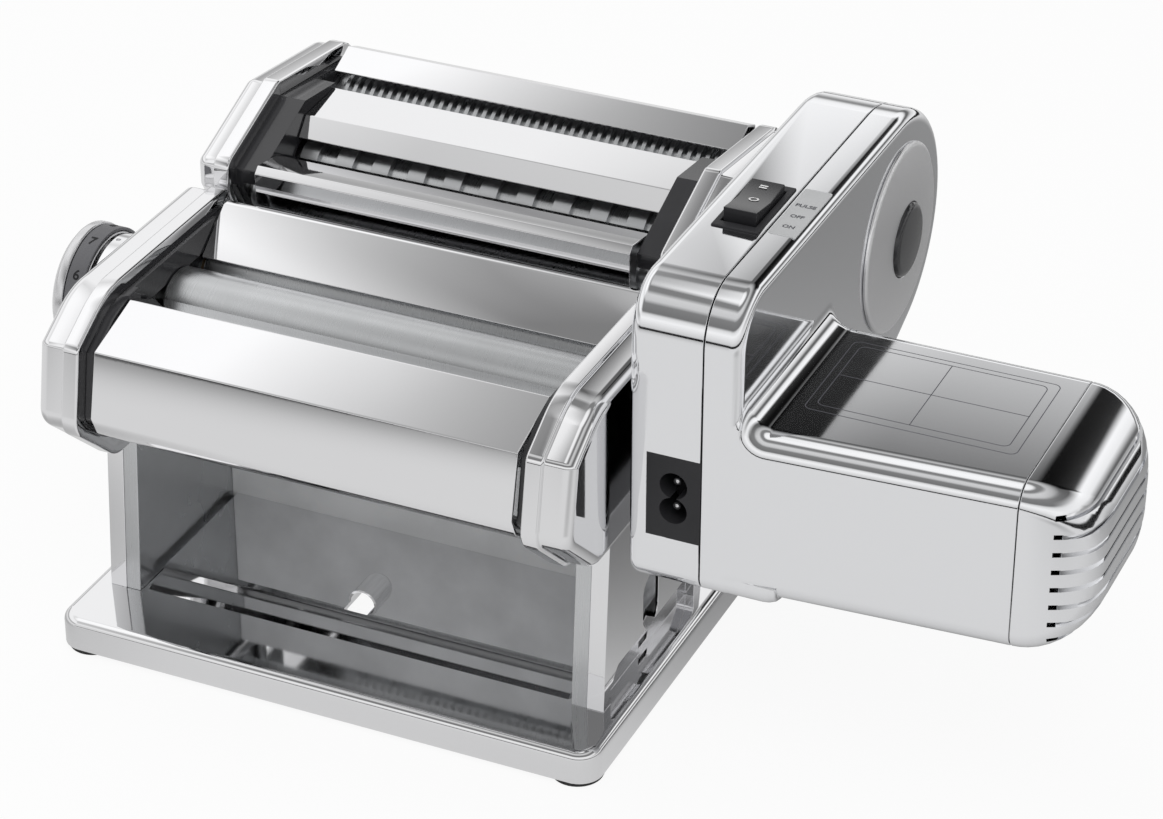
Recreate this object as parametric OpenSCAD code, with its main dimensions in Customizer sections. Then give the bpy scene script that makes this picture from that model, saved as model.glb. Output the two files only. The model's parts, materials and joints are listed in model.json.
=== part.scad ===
// Table pasta roller: stand, adjustable roller head, lift-off cutter head and plug-in motor drive.
// X runs along the rollers, Y runs from front to back, Z is up. The origin is on the table,
// under the middle of the base plate.

/* [Base and stand] */
// Width of the base plate
base_w = 190; // [186:1:200]
// Depth of the base plate
base_d = 148; // [144:1:160]
// Height of the base plate
base_h = 11; // [9:0.5:12]
// Radius of the base plate's corners
base_corner = 8; // [6:1:12]
// Thickness of pressed sheet
sheet = 1.2; // [1:0.1:1.4]
// Height of the rubber feet
foot_h = 2; // [2:0.5:4]
// Radius of the rubber feet
foot_r = 8.5; // [7:0.5:10]
// Thickness of the side frames
frame_t = 2; // [1.6:0.1:2.1]
// Thickness of the outer leg panels
leg_panel_w = 5.8; // [5:0.1:6.4]
// Depth of the legs where they stand on the base
leg_foot_d = 78; // [72:1:82]
// Depth of the legs where they enter the head
leg_top_d = 61; // [56:1:64]

/* [Head] */
// Height of the roller axes above the table
roller_z = 104.5; // [104:0.5:105.5]
// Radius of the sheet rollers
roller_r = 13.5; // [13:0.1:13.6]
// Length of the sheet rollers
roller_len = 147; // [140:1:150]
// Space beside the rollers for the guards
guard_space = 3.5; // [3:0.1:4.5]
// Thinnest gap between the rollers
gap_min = 0.6; // [0.4:0.1:0.8]
// Travel of the adjustable roller
travel = 4.2; // [3.6:0.1:4.3]
// Place of the driven roller's axis behind the middle of the base
drive_y = 7.3; // [6.8:0.1:7.8]
// Width of each side cover
cover_w = 15.3; // [14.5:0.1:16]
// Top of the side covers
head_top = 130; // [129:0.5:132]
// Underside of the side covers
head_bottom = 71; // [69:0.5:72]
// Distance of the front cover's ends from the rollers' ends
front_cover_in = 2; // [2:0.5:4]

/* [Thickness knob] */
// Radius of the knob
knob_r = 21.5; // [20:0.5:22]
// Radius of the dial ring
dial_r = 21; // [20:0.5:21]
// Width of the dial ring
dial_w = 6.5; // [6:0.5:8]
// Thickness of the knob's face
knob_face = 5; // [4:0.5:6]
// Pull that frees the knob
knob_pull = 5; // [3:0.5:6]
// Turn of the knob over the ten settings
knob_turn = 324; // [300:12:324]
// Radius of the regulator shaft
shaft_r = 3; // [2.6:0.1:3]

/* [Cutter head] */
// Radius of the cutting discs
disc_r = 10; // [9.7:0.1:10]
// Bite of each disc between its neighbours
bite = 1.2; // [1:0.1:1.4]
// Pitch of the wide discs
wide_pitch = 13; // [12:0.5:13]
// Number of wide discs on a roller
wide_count = 11; // [9:1:11]
// Pitch of the narrow discs
narrow_pitch = 3.2; // [3:0.1:3.2]
// Number of narrow discs on a roller
narrow_count = 44; // [36:1:44]
// Width of each side cover of the cutter head
cutter_cover_w = 12.4; // [11.5:0.1:13]
// Lift that frees the cutter head
cutter_lift = 40; // [36:1:60]

/* [Motor drive] */
// Gap between the side cover and the motor
motor_gap = 3.5; // [3:0.5:5]
// Thickness of the inner half of the gear case
inner_half_w = 24; // [22:1:26]
// Thickness of the outer half of the gear case
outer_half_w = 11.6; // [11:0.2:13]
// Height of the gear case's top above the table
case_top = 164.5; // [163:0.5:167]
// Height of the gear case's underside above the table
case_bottom = 64; // [62:0.5:65]
// Radius of the dome at the back of the gear case
dome_r = 41.5; // [40:0.5:42]
// Length of the motor arm
arm_len = 84; // [80:1:96]
// Height of the motor arm
arm_h = 56; // [54:0.5:57]
// Depth of the motor arm at the gear case
arm_d = 77.5; // [76:0.5:80]
// Length of the vented end cap
cap_len = 22.5; // [20:0.5:26]
// Number of vent slots in the end cap
slot_count = 8; // [6:1:8]
// Pull that frees the motor
motor_pull = 45; // [30:1:60]

/* [Hidden] */
$fn = 48;
run_fit = 0.05;      // radial clearance of a turning fit
slide_fit = 0.1;     // clearance of a sliding fit
seat_gap = 0.3;      // clearance between pieces that only meet
eps = 0.02;

base_top = foot_h + base_h;
base_edge = 3;
roller_half = roller_len / 2;
frame_in = roller_half + guard_space;
frame_out = frame_in + frame_t;
panel_in = frame_out + 3.2;
panel_out = panel_in + leg_panel_w;
leg_front = -50;
wall_y = leg_front + 62;
leg_lean = 4.5;
leg_top = head_bottom + 7;
recess_deep = 3;

cover_in = frame_in - 1.8;
rim_w = 5.5;
rim_out = cover_in + rim_w;
cover_out = cover_in + cover_w;
front_cover_half = roller_half - front_cover_in;
rim_step = 1.5;
lip = 5;
head_back = 17;
nose_y = -83.5;
nose_z = head_bottom + 20.3;
brow_y = nose_y + 4.9;
brow_z = head_top - 11.5;
crown_y = -59.3;
shell_in = rim_step + sheet;
gear_tip = (2 * roller_r + gap_min + travel + 1) / 2;
gear_back = drive_y + gear_tip + shell_in + 0.4;
seam_low = roller_z + 5;
seam_high = roller_z + 22;
HEAD = [[-61, head_bottom], [gear_back, head_bottom], [gear_back, seam_low], [head_back, seam_high],
        [head_back, head_top], [crown_y, head_top], [brow_y, brow_z], [nose_y, nose_z]];
HEAD_R = [10, 6, 3, 3, 3, 30, 4, 9];

front_y = drive_y - 2 * roller_r - gap_min;
knob_y = front_y + 0.3;
hollow_r = travel + shaft_r + 0.8;
journal_r = hollow_r + 2.8;
gear_seat_r = hollow_r + 1.4;
block_half = journal_r + 1.8;
gear_x = frame_out + 1.2;
gear_w = 4.5;
gear_teeth = 14;
gear_root = 2 * roller_r + gap_min - gear_tip - 0.4;
drive_journal_r = 6;
socket_flats = 8;
cam_w = 2;
cam_base = 6;
follower_r = 2;
left_cam_x = frame_out + 3.5;
right_cam_x = gear_x + gear_w + 0.5;
guard_in = roller_half + seat_gap;

collar_x = cover_out;
collar_w = 7;
dial_x = collar_x + collar_w + 0.5;
knob_x = dial_x + dial_w;

// cutter head
wide_z = 123;
narrow_z = 129;
pair_gap = 2 * disc_r - bite;
wide_y = 35.4;
narrow_y = wide_y + pair_gap + 19.6;
seam = 0.6;
cutter_front = head_back + seam;
cutter_back = 108;
cutter_bottom = 104;
cutter_in = cover_in + 0.4;
cutter_out = cutter_in + cutter_cover_w;
CUTTER = [[gear_back + seam, cutter_bottom], [cutter_back, cutter_bottom], [cutter_back, 145], [53.5, 151.5],
          [cutter_front, 137.5], [cutter_front, seam_high], [gear_back + seam, seam_low]];
CUTTER_R = [3, 8, 11, 5, 5, 3, 3];
ear_back = 41;
ear_top = 111.5;
ear_bottom = 88;
end_plate_x = frame_out + 0.2;
end_plate_t = 1.5;
plate_in = shell_in + seat_gap;
cutter_half = roller_half - 0.5;
cutter_journal_r = 4;
core_r = disc_r - bite - 0.4;
cutter_gear_x = end_plate_x + end_plate_t + 0.6;

// motor drive
case_in = cover_out + motor_gap;
seam_x = case_in + inner_half_w;
case_out = seam_x + outer_half_w;
case_front = -48;
case_front_r = 17;
dome_y = 86;
dome_z = case_top - dome_r;
belly_y = 52;
dome_back = dome_y + dome_r;
rise = atan2(dome_z - case_bottom, dome_y - belly_y)
       - asin(dome_r / norm([dome_y - belly_y, dome_z - case_bottom]));
CASE = [[case_front, case_bottom], [belly_y, case_bottom],
        [dome_back, case_bottom + (dome_back - belly_y) * tan(rise)], [dome_back, case_top],
        [case_front, case_top]];
CASE_R = [6, 24, dome_r, dome_r, case_front_r];
arm_end = case_out + arm_len;
arm_bottom = case_bottom + 2.3;
arm_draft = 5;
cap_end = arm_end + cap_len;
arm_y = case_front + arm_d / 2 + arm_draft / 2;
arm_z = arm_bottom + arm_h / 2;
wall = 2.5;
can_x0 = case_out + 4;
collar_r = 11.8;
output_r = 6;
output_journal_r = 4;
output_end = case_out - 4.6;
rotor_tail_r = 2.5;

// reduction gears: motor pinion, layshaft wheel and pinion, output wheel
pinion_teeth = 10;
wheel_teeth_1 = 48;
wheel_teeth_2 = 50;
module_1 = 0.75;
module_2 = 1;
centres_1 = (pinion_teeth + wheel_teeth_1) * module_1 / 2;
centres_2 = (pinion_teeth + wheel_teeth_2) * module_2 / 2;
shaft_span = norm([drive_y - arm_y, roller_z - arm_z]);
bearing = atan2(roller_z - arm_z, drive_y - arm_y);
mesh_1 = bearing + 180 + acos((centres_1 * centres_1 + shaft_span * shaft_span - centres_2 * centres_2)
                              / (2 * centres_1 * shaft_span));
lay_y = arm_y - centres_1 * cos(mesh_1);
lay_z = arm_z - centres_1 * sin(mesh_1);
mesh_2 = atan2(roller_z - lay_z, drive_y - lay_y);
wheel_x = case_in + 14;
wheel_w = 6;
lay_wheel_x = seam_x + 1.5;
lay_x0 = case_in + 4.5;
lay_x1 = case_out - 1.6;
lay_r = 2.5;
switch_deep = 16;
switch_x = case_in + 15;
switch_y = 12;
switch_w = 15;
switch_l = 32;
inlet_x0 = seam_x - 17.5;
inlet_z = case_bottom + 31.6;
inlet_h = 28.6;
inlet_deep = 14;

// ---- outlines -------------------------------------------------------------------------------

function unit(v) = v / norm(v);
function left_normal(a, b) = let (t = unit(b - a)) [-t[1], t[0]];
function mitre(a, b, c, d) =
  let (m = left_normal(a, b), n = left_normal(b, c), s = unit(m + n)) b + s * d / (s * m);

// Closed outline moved inwards by d; points run anticlockwise
function inset(p, d) =
  let (n = len(p)) [for (i = [0:n - 1]) mitre(p[(i + n - 1) % n], p[i], p[(i + 1) % n], d)];

// Arc that rounds corner b between a and c
function corner(a, b, c, r, steps = 7) =
  let (u = unit(a - b), v = unit(c - b), half = acos(u * v) / 2,
       centre = b + unit(u + v) * r / sin(half), p = b + u * r / tan(half) - centre,
       from = atan2(p[1], p[0]), turn = 180 - 2 * half, way = u[0] * v[1] - u[1] * v[0] > 0 ? -1 : 1)
  r < 0.01 ? [b] : [for (i = [0:steps]) centre + r * [cos(from + way * turn * i / steps),
                                                      sin(from + way * turn * i / steps)]];

// Outline with rounded corners; wide arcs get more steps
function rounded(p, r) = let (n = len(p)) [for (i = [0:n - 1]) let (q = is_list(r) ? r[i] : r)
  each corner(p[(i + n - 1) % n], p[i], p[(i + 1) % n], q, q > 20 ? 16 : 7)];

function shrink(r, d) = [for (q = r) max(q - d, 0.4)];

// Bent sheet: a path thickened by t on its right-hand side
function bent(p, t) = let (n = len(p), back = [for (i = [n - 1:-1:0])
    i == 0 ? p[0] - left_normal(p[0], p[1]) * t :
    i == n - 1 ? p[i] - left_normal(p[i - 1], p[i]) * t : mitre(p[i - 1], p[i], p[i + 1], -t)])
  concat(p, back);

// Extrudes a (Y, Z) outline along X from a to b
module along_x(a, b) {
  translate([a, 0, 0]) rotate([90, 0, 90]) linear_extrude(b - a) children();
}

// Turns children round the X axis through (y, z); they are drawn round the axis itself
module rotate_about(y, z, a) {
  translate([0, y, z]) rotate([a, 0, 0]) children();
}

module outline_x(a, b, p, r = 0) {
  along_x(a, b) polygon(rounded(p, r));
}

module rod_x(a, b, y, z, r) {
  translate([a, y, z]) rotate([0, 90, 0]) cylinder(h = b - a, r = r);
}

module box(a, b) {
  translate(a) cube(b - a);
}

// Upright slot through a wall, with round ends
module slot_x(a, b, y, z, w, l) {
  for (s = [0, l]) rod_x(a, b, y, z + s, w / 2);
  box([a, y - w / 2, z], [b, y + w / 2, z + l]);
}

// Left pieces mirror the right ones
module side(s) {
  if (s > 0) children();
  else mirror([1, 0, 0]) children();
}

module lathe_x(x, y, z, points) {
  translate([x, y, z]) rotate([0, 90, 0]) rotate_extrude() polygon(points);
}

// ---- base and stand -------------------------------------------------------------------------

// Quarter of a pressed pan's wall, as an (outward, up) profile with a rounded shoulder
function shoulder(reach, h, edge, t) = concat(
  [[0, h]], [for (i = [0:6]) [reach - edge + edge * sin(i * 15), h - edge + edge * cos(i * 15)]],
  [[reach, 0], [reach - t, 0]],
  [for (i = [6:-1:0]) [reach - edge + (edge - t) * sin(i * 15), h - edge + (edge - t) * cos(i * 15)]],
  [[0, h - t]]);

module pan(w, d, h, r, edge, t) {
  cx = w / 2 - r;
  cy = d / 2 - r;
  translate([-cx, -cy, h - t]) cube([2 * cx, 2 * cy, t]);
  for (i = [0:3])
    translate([i == 1 || i == 2 ? -cx : cx, i > 1 ? -cy : cy, 0])
      rotate([0, 0, 90 * i]) rotate_extrude(angle = 90) polygon(shoulder(r, h, edge, t));
  for (s = [0, 180]) rotate([0, 0, s]) {
    translate([cx, cy, 0]) rotate([90, 0, 0]) linear_extrude(2 * cy) polygon(shoulder(r, h, edge, t));
    translate([-cx, cy, 0]) rotate([90, 0, 90]) linear_extrude(2 * cx) polygon(shoulder(r, h, edge, t));
  }
}

pocket_r = 5;
pocket_x = -5.5;
pocket_y = -31;
pocket_l = 10;
floor_h = 3.2;
STEP = [[-48, 0], [-46, 1], [-40, 1.2], [-37.6, 2.9], [-35, floor_h], [wall_y, floor_h], [wall_y, 0]];

// Pressed base with a stepped floor between the legs and a domed pocket for the hook of a table clamp
module base_plate() {
  floor_top = base_top + floor_h;
  color("gainsboro") difference() {
    union() {
      translate([0, 0, foot_h]) pan(base_w, base_d, base_h, base_corner, base_edge, sheet);
      translate([0, 0, base_top - eps]) outline_x(-frame_in + 2, frame_in - 2, STEP, [0, 1, 1, 2, 2, 0, 0]);
      translate([pocket_x, pocket_y, floor_top]) {
        rotate([-90, 0, 0]) cylinder(h = pocket_l, r = pocket_r);
        translate([0, pocket_l, 0]) sphere(r = pocket_r);
      }
    }
    translate([0, 0, base_top - sheet]) box([-frame_in + 2 + sheet, -34, -1], [frame_in - 2 - sheet, wall_y - sheet, floor_h]);
    translate([pocket_x, pocket_y - 5, floor_top]) rotate([-90, 0, 0]) cylinder(h = pocket_l + 5, r = pocket_r - 0.8);
    box([pocket_x - pocket_r - 1, pocket_y - 1, foot_h - 1],
        [pocket_x + pocket_r + 1, pocket_y + pocket_l + pocket_r + 1, floor_top - sheet]);
  }
}

module rubber_feet() {
  color("black") for (x = [-1, 1], y = [-1, 1])
    translate([x * (base_w / 2 - foot_r - 0.5), y * (base_d / 2 - foot_r - 0.5), 0]) {
      cylinder(h = foot_h, r = foot_r);
      cylinder(h = base_top - sheet, r = foot_r / 2);
    }
}

LEG = [[leg_front, base_top], [leg_front + leg_foot_d, base_top],
       [leg_front + leg_lean + leg_top_d, leg_top], [leg_front + leg_lean, leg_top]];
RECESS = [[leg_front + 5.6, base_top + 5.6], [leg_front + 5.6, base_top - 1],
          [leg_front + leg_foot_d - 6, base_top - 1], [leg_front + leg_foot_d - 6, base_top + 5.6],
          [leg_front + leg_foot_d - 12, base_top + 11], [leg_front + 11, base_top + 11]];

// Side frame: leg, head plate and the ear that the cutter head hangs on
module frame(s) {
  window = block_half + slide_fit;
  color("silver") side(s) {
    difference() {
      union() {
        along_x(frame_in, frame_out) union() {
          polygon(LEG);
          polygon(rounded(inset(HEAD, sheet + seat_gap), shrink(HEAD_R, sheet + seat_gap)));
          translate([0, ear_bottom]) square([ear_back, ear_top - ear_bottom]);
        }
        outline_x(frame_in, panel_in, [LEG[0], LEG[0] + [sheet, 0], LEG[3] + [sheet, 0], LEG[3]]);
      }
      rod_x(frame_in - 1, frame_out + 1, drive_y, roller_z, drive_journal_r + 2);
      along_x(frame_in - 1, frame_out + 1)
        translate([front_y - window - travel, roller_z - window]) square([2 * window + travel, 2 * window]);
      for (p = RODS) rod_x(frame_in - 1, frame_out + 1, p[0], p[1], screw_r);
    }
  }
}

// Outer leg panel: a pressed tray with a recessed foot band and an oval hole
module side_panel(s) {
  inner = inset(LEG, sheet);
  color("gainsboro") side(s) difference() {
    outline_x(panel_in, panel_out, LEG, [0, 0, 3, 3]);
    along_x(panel_in - 1, panel_out - sheet) difference() {
      polygon(rounded(inner, 2));
      polygon(inset(RECESS, -sheet));
    }
    along_x(panel_in - 1, panel_out - recess_deep - sheet) polygon(rounded(inner, 2));
    outline_x(panel_out - recess_deep, panel_out + 1, RECESS, [3, 0, 0, 3, 3, 3]);
    slot_x(panel_in - 1, panel_out + 1, leg_front + 36.5, base_top + 16, 12, 8);
    box([panel_in - 1, leg_front + 34, base_top + 2], [panel_out + 1, leg_front + 41, base_top + 4.5]);
  }
}

// Back wall between the frames, with feet on the base
module back_panel() {
  color("gainsboro") along_x(-frame_in, frame_in)
    polygon(bent([[wall_y + 8, base_top + sheet], [wall_y, base_top + sheet], [wall_y, head_bottom - seat_gap]],
                 sheet));
}

screw_r = 1.5;
rod_r = 2.5;
RODS = [[-58, 80], [8, 80], [-56, 110]];

module tie_rods() {
  color("dimgray") for (p = RODS) rod_x(-frame_in, frame_in, p[0], p[1], rod_r);
}

module frame_screws() {
  color("silver") for (s = [-1, 1], p = RODS) side(s) {
    rod_x(frame_in, frame_out, p[0], p[1], screw_r);
    rod_x(frame_out, frame_out + 1.8, p[0], p[1], 3.2);
  }
}

// ---- head covers ----------------------------------------------------------------------------

module slab_x(x, p, r) {
  outline_x(x, x + eps, p, r);
}

// Stepped shell: rim, body and bevelled outer face, open inboard inside its lip
module cover_shell(p, r, x0, x1, x2, bevel, gape) {
  body = x2 - bevel;
  difference() {
    union() {
      outline_x(x0, x1, p, r);
      outline_x(x1 - eps, body, inset(p, rim_step), shrink(r, rim_step));
      hull() {
        slab_x(body - 2 * eps, inset(p, rim_step), shrink(r, rim_step));
        slab_x(x2 - eps, inset(p, rim_step + bevel), shrink(r, rim_step + bevel));
      }
    }
    outline_x(x0 + sheet, x1 - sheet, inset(p, sheet), shrink(r, sheet));
    outline_x(x1 - 2 * sheet, body, inset(p, rim_step + sheet), shrink(r, rim_step + sheet));
    hull() {
      slab_x(body - 2 * eps, inset(p, rim_step + sheet), shrink(r, rim_step + sheet));
      slab_x(x2 - sheet, inset(p, rim_step + bevel + sheet), shrink(r, rim_step + bevel + sheet));
    }
    outline_x(x0 - 1, x0 + sheet + eps, inset(p, gape), shrink(r, gape));
  }
}

module head_cover(s) {
  color("gainsboro") side(s) difference() {
    cover_shell(HEAD, HEAD_R, cover_in, rim_out, cover_out, 4, lip);
    box([frame_in - seat_gap, leg_front - seat_gap, head_bottom - 1],
        [panel_out + seat_gap, leg_front + leg_foot_d, leg_top + seat_gap]);
    box([frame_in - seat_gap, head_back - lip, ear_bottom - seat_gap],
        [frame_out + seat_gap, ear_back, ear_top + seat_gap]);
    if (s > 0) rod_x(cover_in, cover_out + 1, drive_y, roller_z, collar_r + 0.5);
    else rod_x(cover_in, cover_out + 1, knob_y, roller_z, shaft_r + 1);
  }
}

FRONT = [[-35, roller_z + 11.2], [-53.1, head_top - 5.7], [-75.5, head_top - 12.8], [-80.3, 96], [-77.5, 89.6],
         [-71, 84.5], [-63, 78.8]];

// Front cover: lip towards the roller, sloped top, upright face and turned-under foot
module front_cover() {
  color("gainsboro") along_x(-front_cover_half, front_cover_half)
    polygon(bent(FRONT, -sheet));
}

HOPPER = [[-5.5, roller_z + 11], [10, head_top - 2.8], [13.5, head_top - 2.8], [13.5, head_top - 8]];

module hopper_plate() {
  color("gainsboro") along_x(-roller_half, roller_half) polygon(bent(HOPPER, 1));
}

// Black guard that closes the end of the rollers below the cover's lip
module guard(s) {
  inner = inset(HEAD, lip + seat_gap);
  radii = shrink(HEAD_R, lip + seat_gap);
  color([0.08, 0.08, 0.09]) side(s) difference() {
    union() {
      outline_x(guard_in, frame_in, inner, radii);
      intersection() {
        outline_x(front_cover_half + seat_gap, frame_in, inner, radii);
        box([0, -100, 0], [100, -46, 200]);
      }
    }
    box([0, -61, 0], [100, 100, roller_z + journal_r + 0.8]);
    box([0, -100, 0], [100, -60, 82]);
  }
}

// ---- rollers and their drive ----------------------------------------------------------------

// Long, slim teeth stay in mesh over the whole travel of the adjustable roller
function tooth(tip, root, half_tip, half_root) = [[root * cos(asin(half_root / root)), -half_root],
  [tip, -half_tip], [tip, half_tip], [root * cos(asin(half_root / root)), half_root]];
function turned(p, a) = [for (q = p) [q[0] * cos(a) - q[1] * sin(a), q[0] * sin(a) + q[1] * cos(a)]];
function gear_outline(teeth, tip, root, half_tip, half_root, phase) =
  [for (i = [0:teeth - 1]) each turned(tooth(tip, root, half_tip, half_root), 360 * i / teeth + phase)];

module roller_gear(y, bore, phase) {
  translate([0, y, roller_z]) difference() {
    along_x(gear_x, gear_x + gear_w) polygon(gear_outline(gear_teeth, gear_tip, gear_root, 0.45, 1.1, phase));
    rod_x(gear_x - 1, gear_x + gear_w + 1, 0, 0, bore);
  }
}

module front_roller() {
  color("silver") difference() {
    union() {
      rod_x(-roller_half, roller_half, front_y, roller_z, roller_r);
      rod_x(-frame_out - 1, frame_out + 1, front_y, roller_z, journal_r);
      rod_x(frame_out, gear_x + gear_w, front_y, roller_z, gear_seat_r);
    }
    rod_x(-100, 100, front_y, roller_z, hollow_r);
  }
}

module front_gear() {
  color("dimgray") roller_gear(front_y, gear_seat_r, 0);
}

module rear_roller() {
  color("silver") difference() {
    union() {
      rod_x(-roller_half, roller_half, drive_y, roller_z, roller_r);
      rod_x(-frame_out - 1, cover_out - 0.5, drive_y, roller_z, drive_journal_r);
    }
    translate([gear_x, drive_y, roller_z]) rotate([0, 90, 0])
      cylinder(h = 20, r = socket_flats / 2 / cos(30), $fn = 6);
  }
}

module rear_gear() {
  color("dimgray") roller_gear(drive_y, drive_journal_r, 180 / gear_teeth);
}

module roller_bushes() {
  color("peru") {
    for (s = [-1, 1]) side(s) difference() {
      union() {
        rod_x(frame_in, frame_out, drive_y, roller_z, drive_journal_r + 2);
        rod_x(frame_out, frame_out + 0.8, drive_y, roller_z, drive_journal_r + 3);
      }
      rod_x(frame_in - 1, frame_out + 2, drive_y, roller_z, drive_journal_r + run_fit);
    }
    difference() {
      rod_x(right_cam_x + cam_w + 0.4, cover_out - sheet, knob_y, roller_z, shaft_r + 2);
      rod_x(80, cover_out - sheet - 0.6, knob_y, roller_z, shaft_r + run_fit);
    }
  }
}

module rear_scraper() {
  color("silver") along_x(-frame_in, frame_in)
    polygon(bent([[drive_y + 14.5, roller_z - 20], [drive_y + 7.9, roller_z - 11.1]], -0.8));
}

lug_x = roller_half + 0.5;

module front_scraper() {
  color("silver") along_x(-lug_x, lug_x)
    polygon(bent([[front_y - 14.5, roller_z - 20], [front_y - 8.1, roller_z - 11.1]], 0.8));
}

// Spiral cam: its radius grows by the travel over the knob's turn
function spiral(a) = cam_base + travel * a / knob_turn;
CAM = concat([for (i = [0:36]) let (a = knob_turn * i / 36) spiral(a) * [cos(a), sin(a)]],
             [cam_base * [cos(342), sin(342)]]);

module cam(x) {
  difference() {
    translate([0, knob_y, roller_z]) along_x(x, x + cam_w) rotate(180) polygon(CAM);
    rod_x(x - 1, x + cam_w + 1, knob_y, roller_z, shaft_r);
  }
}

module left_cam() {
  color("peru") mirror([1, 0, 0]) cam(left_cam_x);
}

module right_cam() {
  color("peru") cam(right_cam_x);
}

module regulator_shaft() {
  color("silver") rod_x(-knob_x - knob_face + 1.5, cover_out - sheet - 0.8, knob_y, roller_z, shaft_r);
}

// Bearing block in the frame's window, with its scraper lug and the finger that rides on the cam
module block(s) {
  cam_x = s > 0 ? right_cam_x : left_cam_x;
  arm_at = front_y - (s > 0 ? gear_tip + 1 : block_half) - 2.5;
  finger_y = knob_y - cam_base - follower_r - slide_fit;
  face = frame_out + slide_fit;
  color("dimgray") side(s) difference() {
    union() {
      box([frame_in, front_y - block_half, roller_z - block_half],
          [face, front_y + block_half, roller_z + block_half]);
      box([face - eps, front_y - block_half - 2.5, roller_z - block_half - 2],
          [frame_out + 1, front_y + block_half - 5, roller_z + block_half + 2]);
      box([lug_x, front_y - block_half, roller_z - block_half],
          [frame_in + eps, front_y - block_half + 3, roller_z - block_half + 3]);
      box([lug_x, front_y - block_half - 3, roller_z - 20],
          [frame_in - slide_fit, front_y - block_half + 3, roller_z - block_half + 3]);
      box([face, arm_at, roller_z - follower_r], [frame_out + 1, front_y - block_half, roller_z + follower_r]);
      box([face, arm_at, roller_z - follower_r], [cam_x + cam_w, arm_at + 2.5, roller_z + follower_r]);
      box([cam_x, arm_at, roller_z - follower_r], [cam_x + cam_w, finger_y, roller_z + follower_r]);
      rod_x(cam_x, cam_x + cam_w, finger_y, roller_z, follower_r);
    }
    rod_x(lug_x - 1, frame_out + 1.1, front_y, roller_z, journal_r + run_fit);
  }
}

// Fixed collar behind the dial, with the index dot's land and a bush for the shaft
module index_collar() {
  collar_r0 = dial_r - 1.5;
  color("gainsboro") difference() {
    lathe_x(-collar_x - collar_w, knob_y, roller_z,
            [[collar_r0 - 1.5, 0], [collar_r0, 1], [collar_r0, collar_w], [shaft_r + run_fit, collar_w],
             [shaft_r + run_fit, collar_w - 2], [collar_r0 - 1.5, collar_w - 2]]);
    translate([-collar_x - collar_w + 2.5, knob_y, roller_z + collar_r0]) cylinder(h = 1, r = 0.8, center = true);
  }
}

module knob_dial() {
  color("dimgray") lathe_x(-knob_x, knob_y, roller_z,
    [[dial_r - 1.2, 0], [dial_r, 0], [dial_r, dial_w], [dial_r - 1.2, dial_w]]);
}

// Turned knob: bevelled face, ring that carries the dial and a hub on the shaft
module knob() {
  color("gainsboro") lathe_x(-knob_x - knob_face, knob_y, roller_z,
    [[0, 0], [knob_r - 2.5, 0], [knob_r, 2], [knob_r, knob_face], [dial_r - 1.2, knob_face],
     [dial_r - 1.2, knob_face + dial_w], [dial_r - 2.4, knob_face + dial_w], [dial_r - 2.4, knob_face],
     [shaft_r + 3, knob_face], [shaft_r + 3, knob_face + dial_w], [shaft_r + run_fit, knob_face + dial_w],
     [shaft_r + run_fit, 1.4], [0, 1.4]]);
}

// Bayonet ring for the motor or a crank, round the driven roller's socket
module drive_flange() {
  color("silver") difference() {
    rod_x(cover_out, cover_out + 1.8, drive_y, roller_z, collar_r + 4);
    rod_x(cover_out - 1, cover_out + 3, drive_y, roller_z, collar_r + 0.5);
    for (a = [0, 180]) translate([cover_out - 1, drive_y, roller_z]) rotate([a, 0, 0])
      translate([0, -2.5, 0]) cube([5, 5, collar_r + 2]);
  }
}

// ---- cutter head ----------------------------------------------------------------------------

module cutter_axes() {
  for (k = [0:3]) translate([0, CUTTER_AXES[k][0], CUTTER_AXES[k][1]]) children();
}
CUTTER_AXES = [[wide_y, wide_z], [wide_y + pair_gap, wide_z], [narrow_y, narrow_z],
               [narrow_y + pair_gap, narrow_z]];

module cutter_end(s) {
  color("silver") side(s) difference() {
    outline_x(end_plate_x, end_plate_x + end_plate_t, inset(CUTTER, plate_in), shrink(CUTTER_R, plate_in));
    cutter_axes() rod_x(end_plate_x - 1, end_plate_x + 3, 0, 0, cutter_journal_r + run_fit);
  }
}

module cutter_cover(s) {
  color("gainsboro") side(s) difference() {
    cover_shell(CUTTER, CUTTER_R, cutter_in, rim_out + 0.6, cutter_out, 3, lip);
    box([cover_in - 1, cutter_front - 1, cutter_bottom - 1],
        [frame_out + seat_gap, ear_back + seat_gap, ear_top + slide_fit]);
    if (s > 0) for (a = [CUTTER_AXES[1], CUTTER_AXES[2]]) rod_x(cutter_gear_x, cutter_out + 1, a[0], a[1], 6);
  }
}

// Black end guard; its slot hangs on the ear of the side frame
module cutter_guard(s) {
  inner = inset(CUTTER, lip + seat_gap);
  radii = shrink(CUTTER_R, lip + seat_gap);
  color([0.08, 0.08, 0.09]) side(s) difference() {
    union() {
      outline_x(cutter_half + 0.4, end_plate_x, inner, radii);
      intersection() {
        outline_x(plate_half + seat_gap, cutter_half + 0.5, inner, radii);
        box([0, 0, wide_z + 6], [100, 75, 200]);
      }
    }
    box([frame_in - slide_fit, 0, cutter_bottom - 1],
        [frame_out + slide_fit, ear_back + seat_gap, ear_top + slide_fit]);
    cutter_axes() {
      rod_x(cutter_half, end_plate_x + 1, 0, 0, cutter_journal_r + 0.3);
      rod_x(60, cutter_half + 0.2, 0, 0, disc_r + 0.8);
    }
  }
}

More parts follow.
